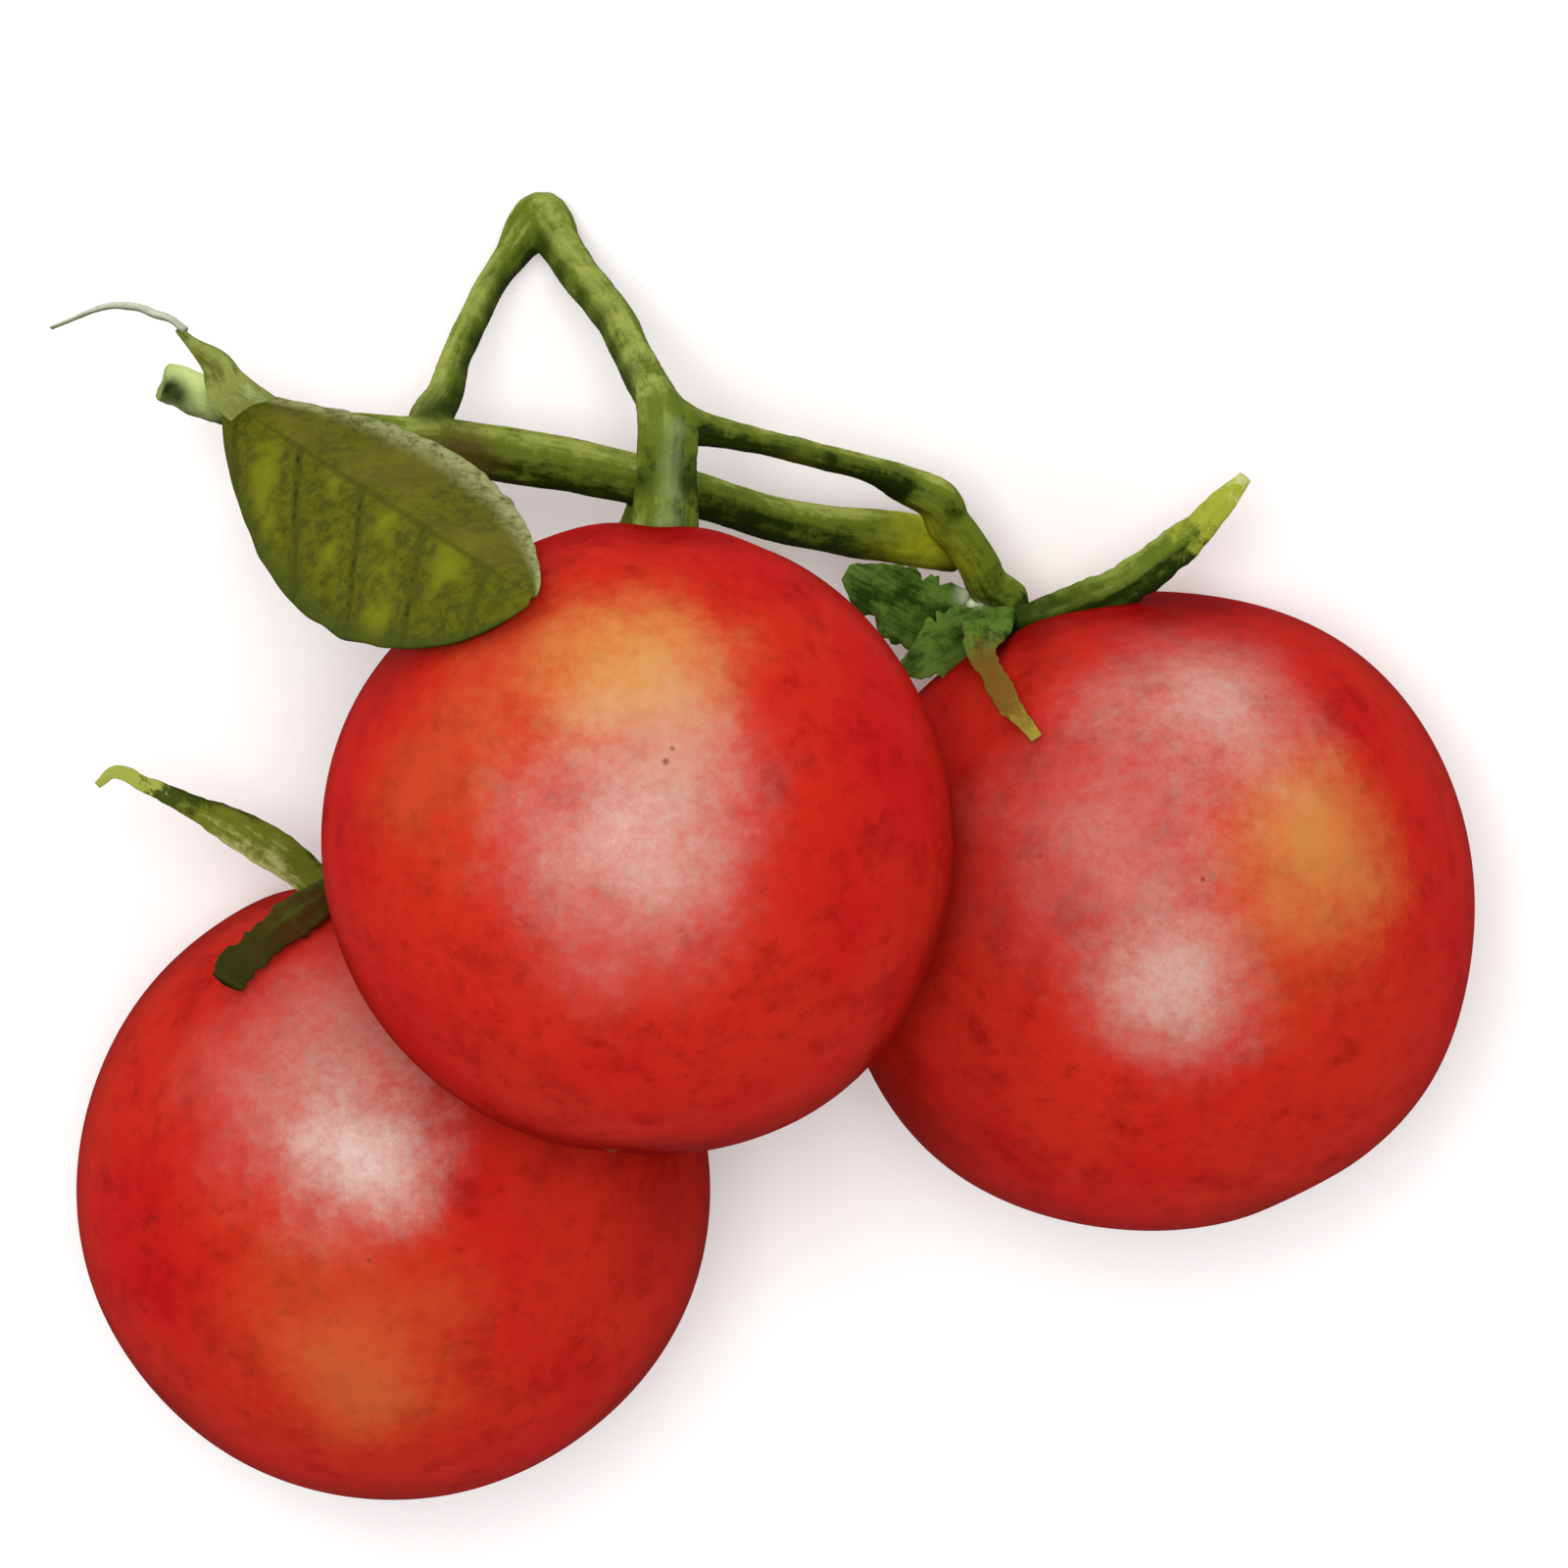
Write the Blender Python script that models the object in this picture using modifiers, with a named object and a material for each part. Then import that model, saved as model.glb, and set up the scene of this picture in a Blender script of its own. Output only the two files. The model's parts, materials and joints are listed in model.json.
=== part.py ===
"""A truss of three small vine tomatoes, cut from the plant and laid on a table.

The left and the right fruit stand on the table, each on a small flat of its skin.
The front fruit leans on both of them, on the side of the stems. The arch of stem
between the vine and the fork reaches down, and its knuckle is the truss's third foot.

Lengths are metres. +Z is up, +Y is the side of the stems, and the origin is on the
table, under the middle of the truss.
"""

import math
from typing import NamedTuple

import bmesh
import bpy
from mathutils import Vector

MM = 0.001
UP = Vector((0.0, 0.0, 1.0))

# Fruits
LEFT_RADIUS = 20.8 * MM
RIGHT_RADIUS = 21.1 * MM
FRONT_RADIUS = 20.1 * MM
LOWER_GAP = 11.6 * MM  # between the skins of the left and the right fruit
RIGHT_BEARING = 21.5  # degrees from +X to the line between the lower fruits
FRONT_LEAN = 50.3  # degrees from upright, about that line
LEFT_AXIS = (-7.0, -8.0)  # bearing from +Y towards +X, and elevation, in degrees
RIGHT_AXIS = (-29.1, -18.9)
FRONT_AXIS = (5.4, -26.0)
FLAT_DEPTH = 0.25 * MM  # how far a standing fruit is pressed flat
DIP_DEPTH = 0.9 * MM  # the hollow round the stem
DIP_WIDTH = 5.0 * MM
BLOSSOM_DEPTH = 0.35 * MM  # the slight hollow at the other end
BLOSSOM_WIDTH = 2.5 * MM
TOUCH = 0.35 * MM  # between two skins that touch
GAP = 0.3 * MM  # between the other pieces that meet

# Radii of the vine and the stems
VINE_LEFT_RADIUS = 1.25 * MM
VINE_RADIUS = 1.55 * MM
VINE_CUT_RADIUS = 1.7 * MM
RISE_ROOT_RADIUS = 1.2 * MM
RISE_RADIUS = 1.05 * MM
RISE_TOP_RADIUS = 0.9 * MM
FALL_TOP_RADIUS = 1.2 * MM
FALL_RADIUS = 1.35 * MM
FRONT_STEM_RADIUS = 0.9 * MM
RIGHT_STEM_RADIUS = 1.0 * MM
RIGHT_STEM_END_RADIUS = 1.25 * MM
LEFT_STEM_RADIUS = 1.1 * MM
KNUCKLE_SWELL = 0.3 * MM  # how far a knuckle stands out of the stem
FORK_RADIUS = 1.95 * MM

# Stem lengths and bends
FRONT_STEM_LENGTH = 6.3 * MM  # from the front fruit's hub to the middle of the fork
RIGHT_STEM_LENGTH = 11.7 * MM  # from the right fruit's hub to the knuckle
RIGHT_KNUCKLE_LIFT = 4.4 * MM
LEFT_STEM_LENGTH = 8.0 * MM
LEFT_KNUCKLE_SHIFT = Vector((4.5, 0.0, -1.5)) * MM
ARCH_REACH = 7.2 * MM  # how far the arch's knuckle lies out from the vine and the fork
ARCH_SHIFT = -0.45 * MM
RISE_BOW = Vector((-1.2, 0.0, 0.0)) * MM
RIGHT_NEAR_BOW = Vector((0.0, 0.3, 0.3)) * MM
RIGHT_FAR_BOW = Vector((0.6, 0.0, 0.0)) * MM
LEFT_NEAR_BOW = Vector((0.0, -1.0, -0.6)) * MM

# Calyxes: five sepals round a hub
HUB_RADIUS = 1.7 * MM
HUB_HALF_HEIGHT = 0.8 * MM
SEPAL_THICKNESS = 0.5 * MM
SEPAL_ROOT_WIDTH = 1.4 * MM
SEPAL_CUP = 0.12  # how far its edges turn up, as a share of its half width


class Sepal(NamedTuple):
    """One sepal's line over its fruit: angles in degrees and lengths in millimetres."""

    azimuth: tuple  # round the stem end from the top, at root, middle and tip
    reach: tuple  # away from the stem end, at middle and tip
    lift: tuple  # above the skin, at middle and tip
    width: tuple  # at middle and tip
    roll: tuple = (0, 0)  # about its own line, at middle and tip


class LeafHalf(NamedTuple):
    """One side of the leaf's outline."""

    width: float  # millimetres from the midrib at the widest
    widest_late: float  # over 1 puts the widest place past the middle
    bluntness: float  # under 1 is blunt, and over 1 is drawn out


RIGHT_SEPALS = (
    Sepal((55, 70, 86), (24, 40), (2.9, 8.1), (2.4, 1.0), (50, 75)),
    Sepal((4, 0, 3), (30, 52), (0.9, 0.9), (2.2, 1.4)),
    Sepal((-42, -36, -48), (15, 22.5), (1.3, 1.8), (3.4, 1.6), (-10, -20)),
    Sepal((-90, -64, -58), (12, 17.5), (4.4, 8.4), (3.2, 1.6), (-55, -55)),
    Sepal((150, 156, 160), (21, 32), (1.4, 3.8), (2.6, 1.0)),
)
LEFT_SEPALS = (
    Sepal((-75, -64, -78), (17, 27), (6.2, 12.9), (2.6, 1.1), (-55, -75)),
    Sepal((-18, -31, -39), (22, 36), (1.0, 0.9), (2.6, 2.0)),
    Sepal((36, 26, 18), (17, 26), (0.9, 1.1), (2.4, 1.0)),
    Sepal((105, 104, 100), (21, 36), (1.2, 2.6), (2.6, 1.0)),
    Sepal((170, 174, 180), (20, 30), (1.8, 5.0), (2.4, 1.0)),
)
FRONT_SEPALS = tuple(
    Sepal((turn, turn, turn), (5.2, 4.3), (2.1, 3.9), (1.6, 0.8)) for turn in range(0, 360, 72)
)

# Leaf and its dry thread
LEAF_STALK_RADIUS = 0.8 * MM
LEAF_STALK = Vector((0.1, 1.7, 3.3)) * MM  # from the middle of the vine to the leaf's base
LEAF_TIP = (-30.4, 54.3)  # azimuth and reach of the tip over the front fruit
LEAF_CLEARANCE = 1.0 * MM  # between the leaf and the front fruit's skin
LEAF_LOWER_HALF = LeafHalf(8.7, 1.1, 0.6)
LEAF_UPPER_HALF = LeafHalf(6.0, 1.3, 0.9)
LEAF_FOLD = 38.0  # degrees that the upper half turns down from the lower half
LEAF_END_WIDTH = 0.5 * MM
LEAF_THICKNESS = 0.6 * MM
LEAF_SIDE = Vector((-0.58, -0.75, 0.30))  # from the midrib towards the lower edge
BRACT_WIDTH = 1.9 * MM
BRACT_ROOT_WIDTH = 1.1 * MM
BRACT_THICKNESS = 0.5 * MM
BRACT_LINE = [  # from the leaf's base
    Vector(place) * MM for place in ((-0.5, 0.9, 0.4), (-2.1, 2.9, -0.2), (-4.0, 4.2, -1.4))
]
THREAD_RADIUS = 0.35 * MM
THREAD_LINE = [
    Vector(place) * MM
    for place in (
        (-4.5, 4.6, -1.8),
        (-6.2, 5.1, -3.0),
        (-8.4, 4.9, -4.2),
        (-10.2, 4.0, -5.0),
        (-12.2, 2.9, -5.6),
    )
]

FRUIT_SEGMENTS = 36
FRUIT_RINGS = 24
BALL_SEGMENTS = 12
BALL_RINGS = 8
TUBE_RESOLUTION = 2


def clear_scene():
    for leftover in list(bpy.data.objects):
        bpy.data.objects.remove(leftover)


def finish(name, colour, roughness):
    """A plain material of one colour."""
    material = bpy.data.materials.new(name)
    material.use_nodes = True
    shader = material.node_tree.nodes["Principled BSDF"]
    shader.inputs["Base Color"].default_value = (*colour, 1.0)
    shader.inputs["Roughness"].default_value = roughness
    shader.inputs["Metallic"].default_value = 0.0
    return material


def direction(bearing, elevation):
    """The unit vector at a bearing from +Y towards +X and an elevation, in degrees."""
    bearing = math.radians(bearing)
    elevation = math.radians(elevation)
    level = math.cos(elevation)
    return Vector((math.sin(bearing) * level, math.cos(bearing) * level, math.sin(elevation)))


def through(values, t):
    """The curve that passes its three values at t = 0, 0.5 and 1."""
    first, middle, last = values
    return first * (1 - t) * (1 - 2 * t) + middle * 4 * t * (1 - t) + last * t * (2 * t - 1)


class Fruit:
    """Where a fruit is, and which way its stem end points."""

    def __init__(self, name, centre, radius, axis):
        self.name = name
        self.centre = centre
        self.radius = radius
        self.axis = direction(*axis)
        self.top = (UP - self.axis * UP.dot(self.axis)).normalized()
        self.side = self.axis.cross(self.top)
        self.hub = centre + self.axis * (radius - DIP_DEPTH + GAP + HUB_HALF_HEIGHT)

    def point(self, azimuth, reach, lift):
        """The point that stands `lift` above the skin, `reach` degrees from the stem end."""
        azimuth = math.radians(azimuth)
        reach = math.radians(reach)
        across = self.top * math.cos(azimuth) + self.side * math.sin(azimuth)
        outward = self.axis * math.cos(reach) + across * math.sin(reach)
        return self.centre + outward * (self.radius + lift)

    def on_stem(self, distance):
        """The point on the stem's axis at a distance beyond the hub."""
        return self.hub + self.axis * distance


def lay_out_fruits():
    """The lower fruits stand on the table, and the front one touches them both."""
    left = Vector((0.0, 0.0, LEFT_RADIUS - FLAT_DEPTH))
    bearing = math.radians(RIGHT_BEARING)
    apart = LEFT_RADIUS + LOWER_GAP + RIGHT_RADIUS
    rise = (RIGHT_RADIUS - LEFT_RADIUS) / apart
    level = math.sqrt(1 - rise**2)
    along = Vector((math.cos(bearing) * level, math.sin(bearing) * level, rise))
    from_left = LEFT_RADIUS + TOUCH + FRONT_RADIUS
    from_right = RIGHT_RADIUS + TOUCH + FRONT_RADIUS
    foot = (from_left**2 - from_right**2 + apart**2) / (2 * apart)
    height = math.sqrt(from_left**2 - foot**2)
    upright = (UP - along * UP.dot(along)).normalized()
    lean = math.radians(FRONT_LEAN)
    leaning = upright * math.cos(lean) + upright.cross(along) * math.sin(lean)
    return (
        Fruit("front", left + along * foot + leaning * height, FRONT_RADIUS, FRONT_AXIS),
        Fruit("left", left, LEFT_RADIUS, LEFT_AXIS),
        Fruit("right", left + along * apart, RIGHT_RADIUS, RIGHT_AXIS),
    )


class Truss:
    """Collects the parts under one empty, in the object's collection."""

    def __init__(self):
        self.collection = bpy.data.collections.new("tomato")
        bpy.context.scene.collection.children.link(self.collection)
        self.root = bpy.data.objects.new("truss", None)
        self.collection.objects.link(self.root)

    def add(self, name, data, material):
        part = bpy.data.objects.new(name, data)
        data.materials.append(material)
        self.collection.objects.link(part)
        part.parent = self.root
        return part

    def add_shape(self, name, shape, material):
        mesh = bpy.data.meshes.new(name)
        shape.to_mesh(mesh)
        shape.free()
        mesh.shade_smooth()
        mesh.set_sharp_from_angle(angle=math.radians(40))
        return self.add(name, mesh, material)

    def centre_on_origin(self):
        """Brings the middle of the truss's box over the origin. Its feet stay on the table."""
        bpy.context.view_layer.update()
        graph = bpy.context.evaluated_depsgraph_get()
        corners = []
        for part in self.root.children:
            solid = part.evaluated_get(graph)
            mesh = solid.to_mesh()
            corners += [solid.matrix_world @ vertex.co for vertex in mesh.vertices]
            solid.to_mesh_clear()
        for axis in (0, 1):
            values = [corner[axis] for corner in corners]
            self.root.location[axis] = -(min(values) + max(values)) / 2


def press_flat(shape, fruit, turn):
    """Cuts the fruit off at the table, in the fruit's own turned axes."""
    back = turn.inverted()
    bmesh.ops.bisect_plane(
        shape,
        geom=shape.verts[:] + shape.edges[:] + shape.faces[:],
        plane_co=back @ Vector((0.0, 0.0, -fruit.centre.z)),
        plane_no=back @ UP,
        clear_inner=True,
    )
    bmesh.ops.holes_fill(shape, edges=shape.edges[:])


def make_fruit(truss, fruit, material, stands):
    """A ball with a hollow at the stem and a slight one at the other end."""
    shape = bmesh.new()
    bmesh.ops.create_uvsphere(
        shape, u_segments=FRUIT_SEGMENTS, v_segments=FRUIT_RINGS, radius=fruit.radius
    )
    for vertex in shape.verts:
        off_axis = vertex.co.xy.length
        if vertex.co.z > 0:
            vertex.co.z -= DIP_DEPTH * math.exp(-((off_axis / DIP_WIDTH) ** 2))
        else:
            vertex.co.z += BLOSSOM_DEPTH * math.exp(-((off_axis / BLOSSOM_WIDTH) ** 2))
    turn = fruit.axis.to_track_quat("Z", "Y")
    if stands:
        press_flat(shape, fruit, turn)
    part = truss.add_shape(f"tomato_{fruit.name}", shape, material)
    part.location = fruit.centre
    part.rotation_euler = turn.to_euler()


def make_ball(truss, name, centre, radius, material, axis=UP, half_height=None):
    """A knuckle, as a ball that may be longer or shorter along an axis."""
    shape = bmesh.new()
    bmesh.ops.create_uvsphere(
        shape, u_segments=BALL_SEGMENTS, v_segments=BALL_RINGS, radius=radius
    )
    if half_height:
        bmesh.ops.scale(shape, vec=(1.0, 1.0, half_height / radius), verts=shape.verts)
    part = truss.add_shape(name, shape, material)
    part.location = centre
    part.rotation_euler = axis.to_track_quat("Z", "Y").to_euler()


def make_tube(truss, name, path, radii, material):
    """A stem along a path. Its radius passes through three values."""
    curve = bpy.data.curves.new(name, "CURVE")
    curve.dimensions = "3D"
    curve.fill_mode = "FULL"
    curve.bevel_depth = max(radii)
    curve.bevel_resolution = TUBE_RESOLUTION
    curve.use_fill_caps = True
    spline = curve.splines.new("POLY")
    spline.points.add(len(path) - 1)
    for index, place in enumerate(path):
        point = spline.points[index]
        point.co = (*place, 1.0)
        point.radius = through(radii, index / (len(path) - 1)) / curve.bevel_depth
    truss.add(name, curve, material)


def bowed(start, end, start_trim, end_trim, bow=Vector(), count=7):
    """A slightly bent path between two joints, cut short at each end."""
    length = (end - start).length
    first = start_trim / length
    last = 1 - end_trim / length
    shares = [first + (last - first) * index / (count - 1) for index in range(count)]
    return [start.lerp(end, t) + bow * 4 * t * (1 - t) for t in shares]


def smooth_path(points, per_span):
    """A Catmull-Rom curve through the points."""
    padded = [points[0] * 2 - points[1], *points, points[-1] * 2 - points[-2]]
    path = []
    for before, start, end, after in zip(padded, padded[1:], padded[2:], padded[3:]):
        for index in range(per_span):
            t = index / per_span
            square = before * 2 - start * 5 + end * 4 - after
            cube = start * 3 - before - end * 3 + after
            path.append(start + ((end - before) * t + square * t**2 + cube * t**3) / 2)
    return [*path, points[-1]]


def make_blade(truss, name, surface, thickness, segments, material):
    """A thin solid: surface(t, s) runs from root to tip, and from side -1 to side 1."""
    across, along = segments
    shape = bmesh.new()
    bmesh.ops.create_grid(shape, x_segments=across, y_segments=along, size=0.5)
    for vertex in shape.verts:
        vertex.co = surface(vertex.co.y + 0.5, vertex.co.x * 2)
    part = truss.add_shape(name, shape, material)
    wall = part.modifiers.new("Wall", "SOLIDIFY")
    wall.thickness = thickness
    wall.offset = 0.0


def sepal_surface(fruit, sepal):
    """A sepal that starts beside the hub and follows its own line over the fruit."""
    off_axis = HUB_RADIUS + GAP + SEPAL_THICKNESS / 2
    reach = (math.degrees(math.asin(off_axis / fruit.radius)), *sepal.reach)
    lift = (HUB_HALF_HEIGHT + GAP - DIP_DEPTH, *(value * MM for value in sepal.lift))
    width = (SEPAL_ROOT_WIDTH, *(value * MM for value in sepal.width))

    def spine(t):
        return fruit.point(through(sepal.azimuth, t), through(reach, t), through(lift, t))

    def surface(t, s):
        step = 0.02
        tangent = (spine(t + step) - spine(t - step)).normalized()
        round_stem = fruit.axis.cross(spine(t) - fruit.centre)
        level = (round_stem - tangent * round_stem.dot(tangent)).normalized()
        roll = math.radians(through((0.0, *sepal.roll), t))
        side = level * math.cos(roll) + tangent.cross(level) * math.sin(roll)
        half = through(width, t) / 2
        turned_up = side.cross(tangent) * SEPAL_CUP * half * s * s
        return spine(t) + side * half * s + turned_up

    return surface


def make_calyx(truss, fruit, sepals, material):
    name = f"calyx_hub_{fruit.name}"
    make_ball(truss, name, fruit.hub, HUB_RADIUS, material, fruit.axis, HUB_HALF_HEIGHT)
    for number, sepal in enumerate(sepals, start=1):
        surface = sepal_surface(fruit, sepal)
        name = f"sepal_{fruit.name}_{number}"
        make_blade(truss, name, surface, SEPAL_THICKNESS, (2, 8), material)


def vine_line(fork, right):
    """The vine's middle line: its cut end lies by the right fruit's hub."""
    by_fork = (
        (-33.0, 0.0, -8.2),
        (-22.3, -3.7, -8.4),
        (-15.4, -4.5, -8.7),
        (-6.7, -6.1, -9.3),
        (-0.2, -7.6, -9.4),
    )
    by_right = ((-8.8, 6.0, 0.2), (-3.3, 4.2, -3.9))
    between = fork.lerp(right.hub, 0.5) + Vector((-2.9, -2.3, -6.5)) * MM
    return [
        *(fork + Vector(place) * MM for place in by_fork),
        between,
        *(right.hub + Vector(place) * MM for place in by_right),
    ]


def make_arch(truss, branch, fork, material):
    """Two legs of stem that meet at a knuckle on the table."""
    radius = FALL_RADIUS + KNUCKLE_SWELL
    knuckle = branch.lerp(fork, 0.5) + Vector((ARCH_SHIFT, ARCH_REACH, 0.0))
    knuckle.z = radius
    to_branch = (branch - knuckle).normalized()
    to_fork = (fork - knuckle).normalized()
    inward = (to_branch + to_fork).normalized()
    legs_part = (RISE_RADIUS + FALL_RADIUS + GAP) / (to_branch - to_fork).length
    nose = legs_part - GAP
    middle = knuckle + inward * (nose - radius) / 2
    make_ball(truss, "arch_knuckle", middle, radius, material, inward, (nose + radius) / 2)
    rise = bowed(branch, knuckle, VINE_RADIUS + 2 * GAP, legs_part, RISE_BOW)
    make_tube(truss, "arch_rise", rise, (RISE_ROOT_RADIUS, RISE_RADIUS, RISE_TOP_RADIUS), material)
    fall = bowed(knuckle, fork, legs_part, FORK_RADIUS + GAP)
    make_tube(truss, "arch_fall", fall, (FALL_TOP_RADIUS, FALL_RADIUS, FALL_RADIUS), material)


def make_jointed_stem(truss, fruit, start, start_trim, knuckle, bows, radii, material):
    """A fruit's stem: a near half, the knuckle where it would snap, and a far half to the hub."""
    near_radius, end_radius = radii
    swollen = end_radius + KNUCKLE_SWELL
    name = f"stem_{fruit.name}"
    near = bowed(start, knuckle, start_trim, swollen + 2 * GAP, bows[0])
    make_tube(truss, f"{name}_near", near, (near_radius, near_radius, end_radius), material)
    make_ball(truss, f"{name}_knuckle", knuckle, swollen, material)
    far = bowed(knuckle, fruit.hub, swollen + GAP, HUB_HALF_HEIGHT + 2 * GAP, bows[1])
    make_tube(truss, f"{name}_far", far, (end_radius,) * 3, material)


def make_stems(truss, front, left, right, material):
    """The vine, the arch from it to the fork, and the stem of each fruit. Gives the vine's line."""
    fork = front.on_stem(FRONT_STEM_LENGTH)
    vine = vine_line(fork, right)
    branch, crossing = vine[2], vine[4]
    radii = (VINE_LEFT_RADIUS, VINE_RADIUS, VINE_CUT_RADIUS)
    make_tube(truss, "vine_stem", smooth_path(vine, 3), radii, material)
    make_ball(truss, "fork", fork, FORK_RADIUS, material)
    make_arch(truss, branch, fork, material)

    stem = bowed(front.hub, fork, HUB_HALF_HEIGHT + GAP, FORK_RADIUS + GAP, count=4)
    make_tube(truss, "stem_front", stem, (FRONT_STEM_RADIUS,) * 3, material)

    knuckle = right.on_stem(RIGHT_STEM_LENGTH) + UP * RIGHT_KNUCKLE_LIFT
    bows = (RIGHT_NEAR_BOW, RIGHT_FAR_BOW)
    radii = (RIGHT_STEM_RADIUS, RIGHT_STEM_END_RADIUS)
    make_jointed_stem(truss, right, fork, FORK_RADIUS + 2 * GAP, knuckle, bows, radii, material)

    knuckle = left.on_stem(LEFT_STEM_LENGTH) + LEFT_KNUCKLE_SHIFT
    bows = (LEFT_NEAR_BOW, Vector())
    radii = (LEFT_STEM_RADIUS, LEFT_STEM_RADIUS)
    make_jointed_stem(truss, left, crossing, VINE_RADIUS + 3 * GAP, knuckle, bows, radii, material)
    return vine


def leaf_surface(base, tip):
    """A broad pointed leaf, folded along its midrib. Side 1 is its lower edge."""
    chord = tip - base
    lower = (LEAF_SIDE - chord * LEAF_SIDE.dot(chord) / chord.length_squared).normalized()
    face = lower.cross(chord).normalized()
    fold = math.radians(LEAF_FOLD)
    upper = -lower * math.cos(fold) - face * math.sin(fold)

    def surface(t, s):
        side, half = (lower, LEAF_LOWER_HALF) if s > 0 else (upper, LEAF_UPPER_HALF)
        share = math.sin(math.pi * min(max(t, 0.0), 1.0) ** half.widest_late)
        width = max(half.width * MM * share**half.bluntness, LEAF_END_WIDTH)
        return base + chord * t + side * width * abs(s)

    return surface


def bract_surface(base):
    """The small pointed bract beside the leaf's base, which ends in the dry thread."""
    line = [base + place for place in BRACT_LINE]

    side = (line[2] - line[0]).cross(UP).normalized()
    widths = (BRACT_ROOT_WIDTH, BRACT_WIDTH, 2 * THREAD_RADIUS)

    def surface(t, s):
        return through(line, t) + side * s * through(widths, t) / 2

    return surface


def make_leaf(truss, front, vine, green, straw):
    """The leaf grows near the vine's left end and lies over the front fruit's shoulder."""
    node = vine[0].lerp(vine[1], 0.5)
    base = node + LEAF_STALK
    stalk = bowed(node, base, VINE_RADIUS + GAP, LEAF_THICKNESS / 2 + 2 * GAP, count=3)
    make_tube(truss, "leaf_stalk", stalk, (LEAF_STALK_RADIUS,) * 3, green)
    tip = front.point(*LEAF_TIP, LEAF_CLEARANCE + LEAF_THICKNESS / 2)
    make_blade(truss, "leaf_blade", leaf_surface(base, tip), LEAF_THICKNESS, (6, 12), green)
    make_blade(truss, "leaf_bract", bract_surface(base), BRACT_THICKNESS, (2, 5), green)
    thread = smooth_path([base + place for place in THREAD_LINE], 3)
    radii = (THREAD_RADIUS, THREAD_RADIUS * 0.8, THREAD_RADIUS * 0.6)
    make_tube(truss, "leaf_thread", thread, radii, straw)


def main():
    clear_scene()
    truss = Truss()
    skin = finish("ripe_skin", (0.58, 0.03, 0.018), 0.32)
    stem_green = finish("stem_green", (0.13, 0.21, 0.04), 0.6)
    leaf_green = finish("leaf_green", (0.17, 0.2, 0.02), 0.6)
    straw = finish("dry_thread", (0.45, 0.42, 0.25), 0.8)
    front, left, right = lay_out_fruits()
    make_fruit(truss, front, skin, stands=False)
    make_fruit(truss, left, skin, stands=True)
    make_fruit(truss, right, skin, stands=True)
    make_calyx(truss, front, FRONT_SEPALS, stem_green)
    make_calyx(truss, left, LEFT_SEPALS, stem_green)
    make_calyx(truss, right, RIGHT_SEPALS, stem_green)
    vine = make_stems(truss, front, left, right, stem_green)
    make_leaf(truss, front, vine, leaf_green, straw)
    truss.centre_on_origin()


main()
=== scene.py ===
# %% [markdown]
# # Three tomatoes on the vine
#
# This lesson gives a plain model of a cut truss its finished look: soft red
# skins with orange and pale patches, streaked green stems that grow into each
# other, ragged sepals and one veined leaf. The plain model is the fixed frame.
# Every place here is measured from it, so the pieces fit with no adjusting.

# %% Load the frame
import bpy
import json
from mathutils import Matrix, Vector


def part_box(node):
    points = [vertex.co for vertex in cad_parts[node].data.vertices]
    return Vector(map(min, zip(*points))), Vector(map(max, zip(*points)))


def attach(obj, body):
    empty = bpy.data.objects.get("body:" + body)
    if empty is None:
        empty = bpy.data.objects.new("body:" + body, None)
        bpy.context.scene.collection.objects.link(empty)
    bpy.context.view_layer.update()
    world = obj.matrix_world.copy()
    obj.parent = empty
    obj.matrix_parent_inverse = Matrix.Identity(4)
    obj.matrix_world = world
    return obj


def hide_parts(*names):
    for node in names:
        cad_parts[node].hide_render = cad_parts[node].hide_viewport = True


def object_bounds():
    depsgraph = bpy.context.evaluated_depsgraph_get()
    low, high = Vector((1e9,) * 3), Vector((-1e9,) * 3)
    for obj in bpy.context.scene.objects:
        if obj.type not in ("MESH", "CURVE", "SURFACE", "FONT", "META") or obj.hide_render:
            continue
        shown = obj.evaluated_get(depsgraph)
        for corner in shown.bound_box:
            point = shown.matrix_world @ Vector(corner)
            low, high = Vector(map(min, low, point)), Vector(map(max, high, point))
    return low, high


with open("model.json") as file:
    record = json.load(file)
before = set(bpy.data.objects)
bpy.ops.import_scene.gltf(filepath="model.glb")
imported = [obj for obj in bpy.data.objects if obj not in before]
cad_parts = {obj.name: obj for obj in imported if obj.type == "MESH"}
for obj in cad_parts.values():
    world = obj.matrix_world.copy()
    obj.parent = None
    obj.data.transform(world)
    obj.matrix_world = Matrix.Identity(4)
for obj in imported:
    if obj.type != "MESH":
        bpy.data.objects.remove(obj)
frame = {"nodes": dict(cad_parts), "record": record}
cad_low, cad_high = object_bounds()
print("nodes in the frame:", len(frame["nodes"]))

# %% What the lesson uses
import json
import math

import bmesh
import bpy
import numpy as np
from mathutils import Matrix, Vector, noise
from mathutils.kdtree import KDTree

MM = 0.001

# %% [markdown]
# ## Camera
#
# The truss lies on a table, and the camera looks down on it from above, tipped a
# little past straight down towards the stems, through a long lens. The turn is
# built from two rotations, so its columns give the directions that are right,
# up and towards the camera. They are used again to say where a patch of colour is.

# %% The camera
TILT = math.radians(20.75)
TURN = math.radians(1.64)
DISTANCE = 0.7
AIM = (cad_low + cad_high) / 2 + Vector((0.5, 14.7, 9.4)) * MM

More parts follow.
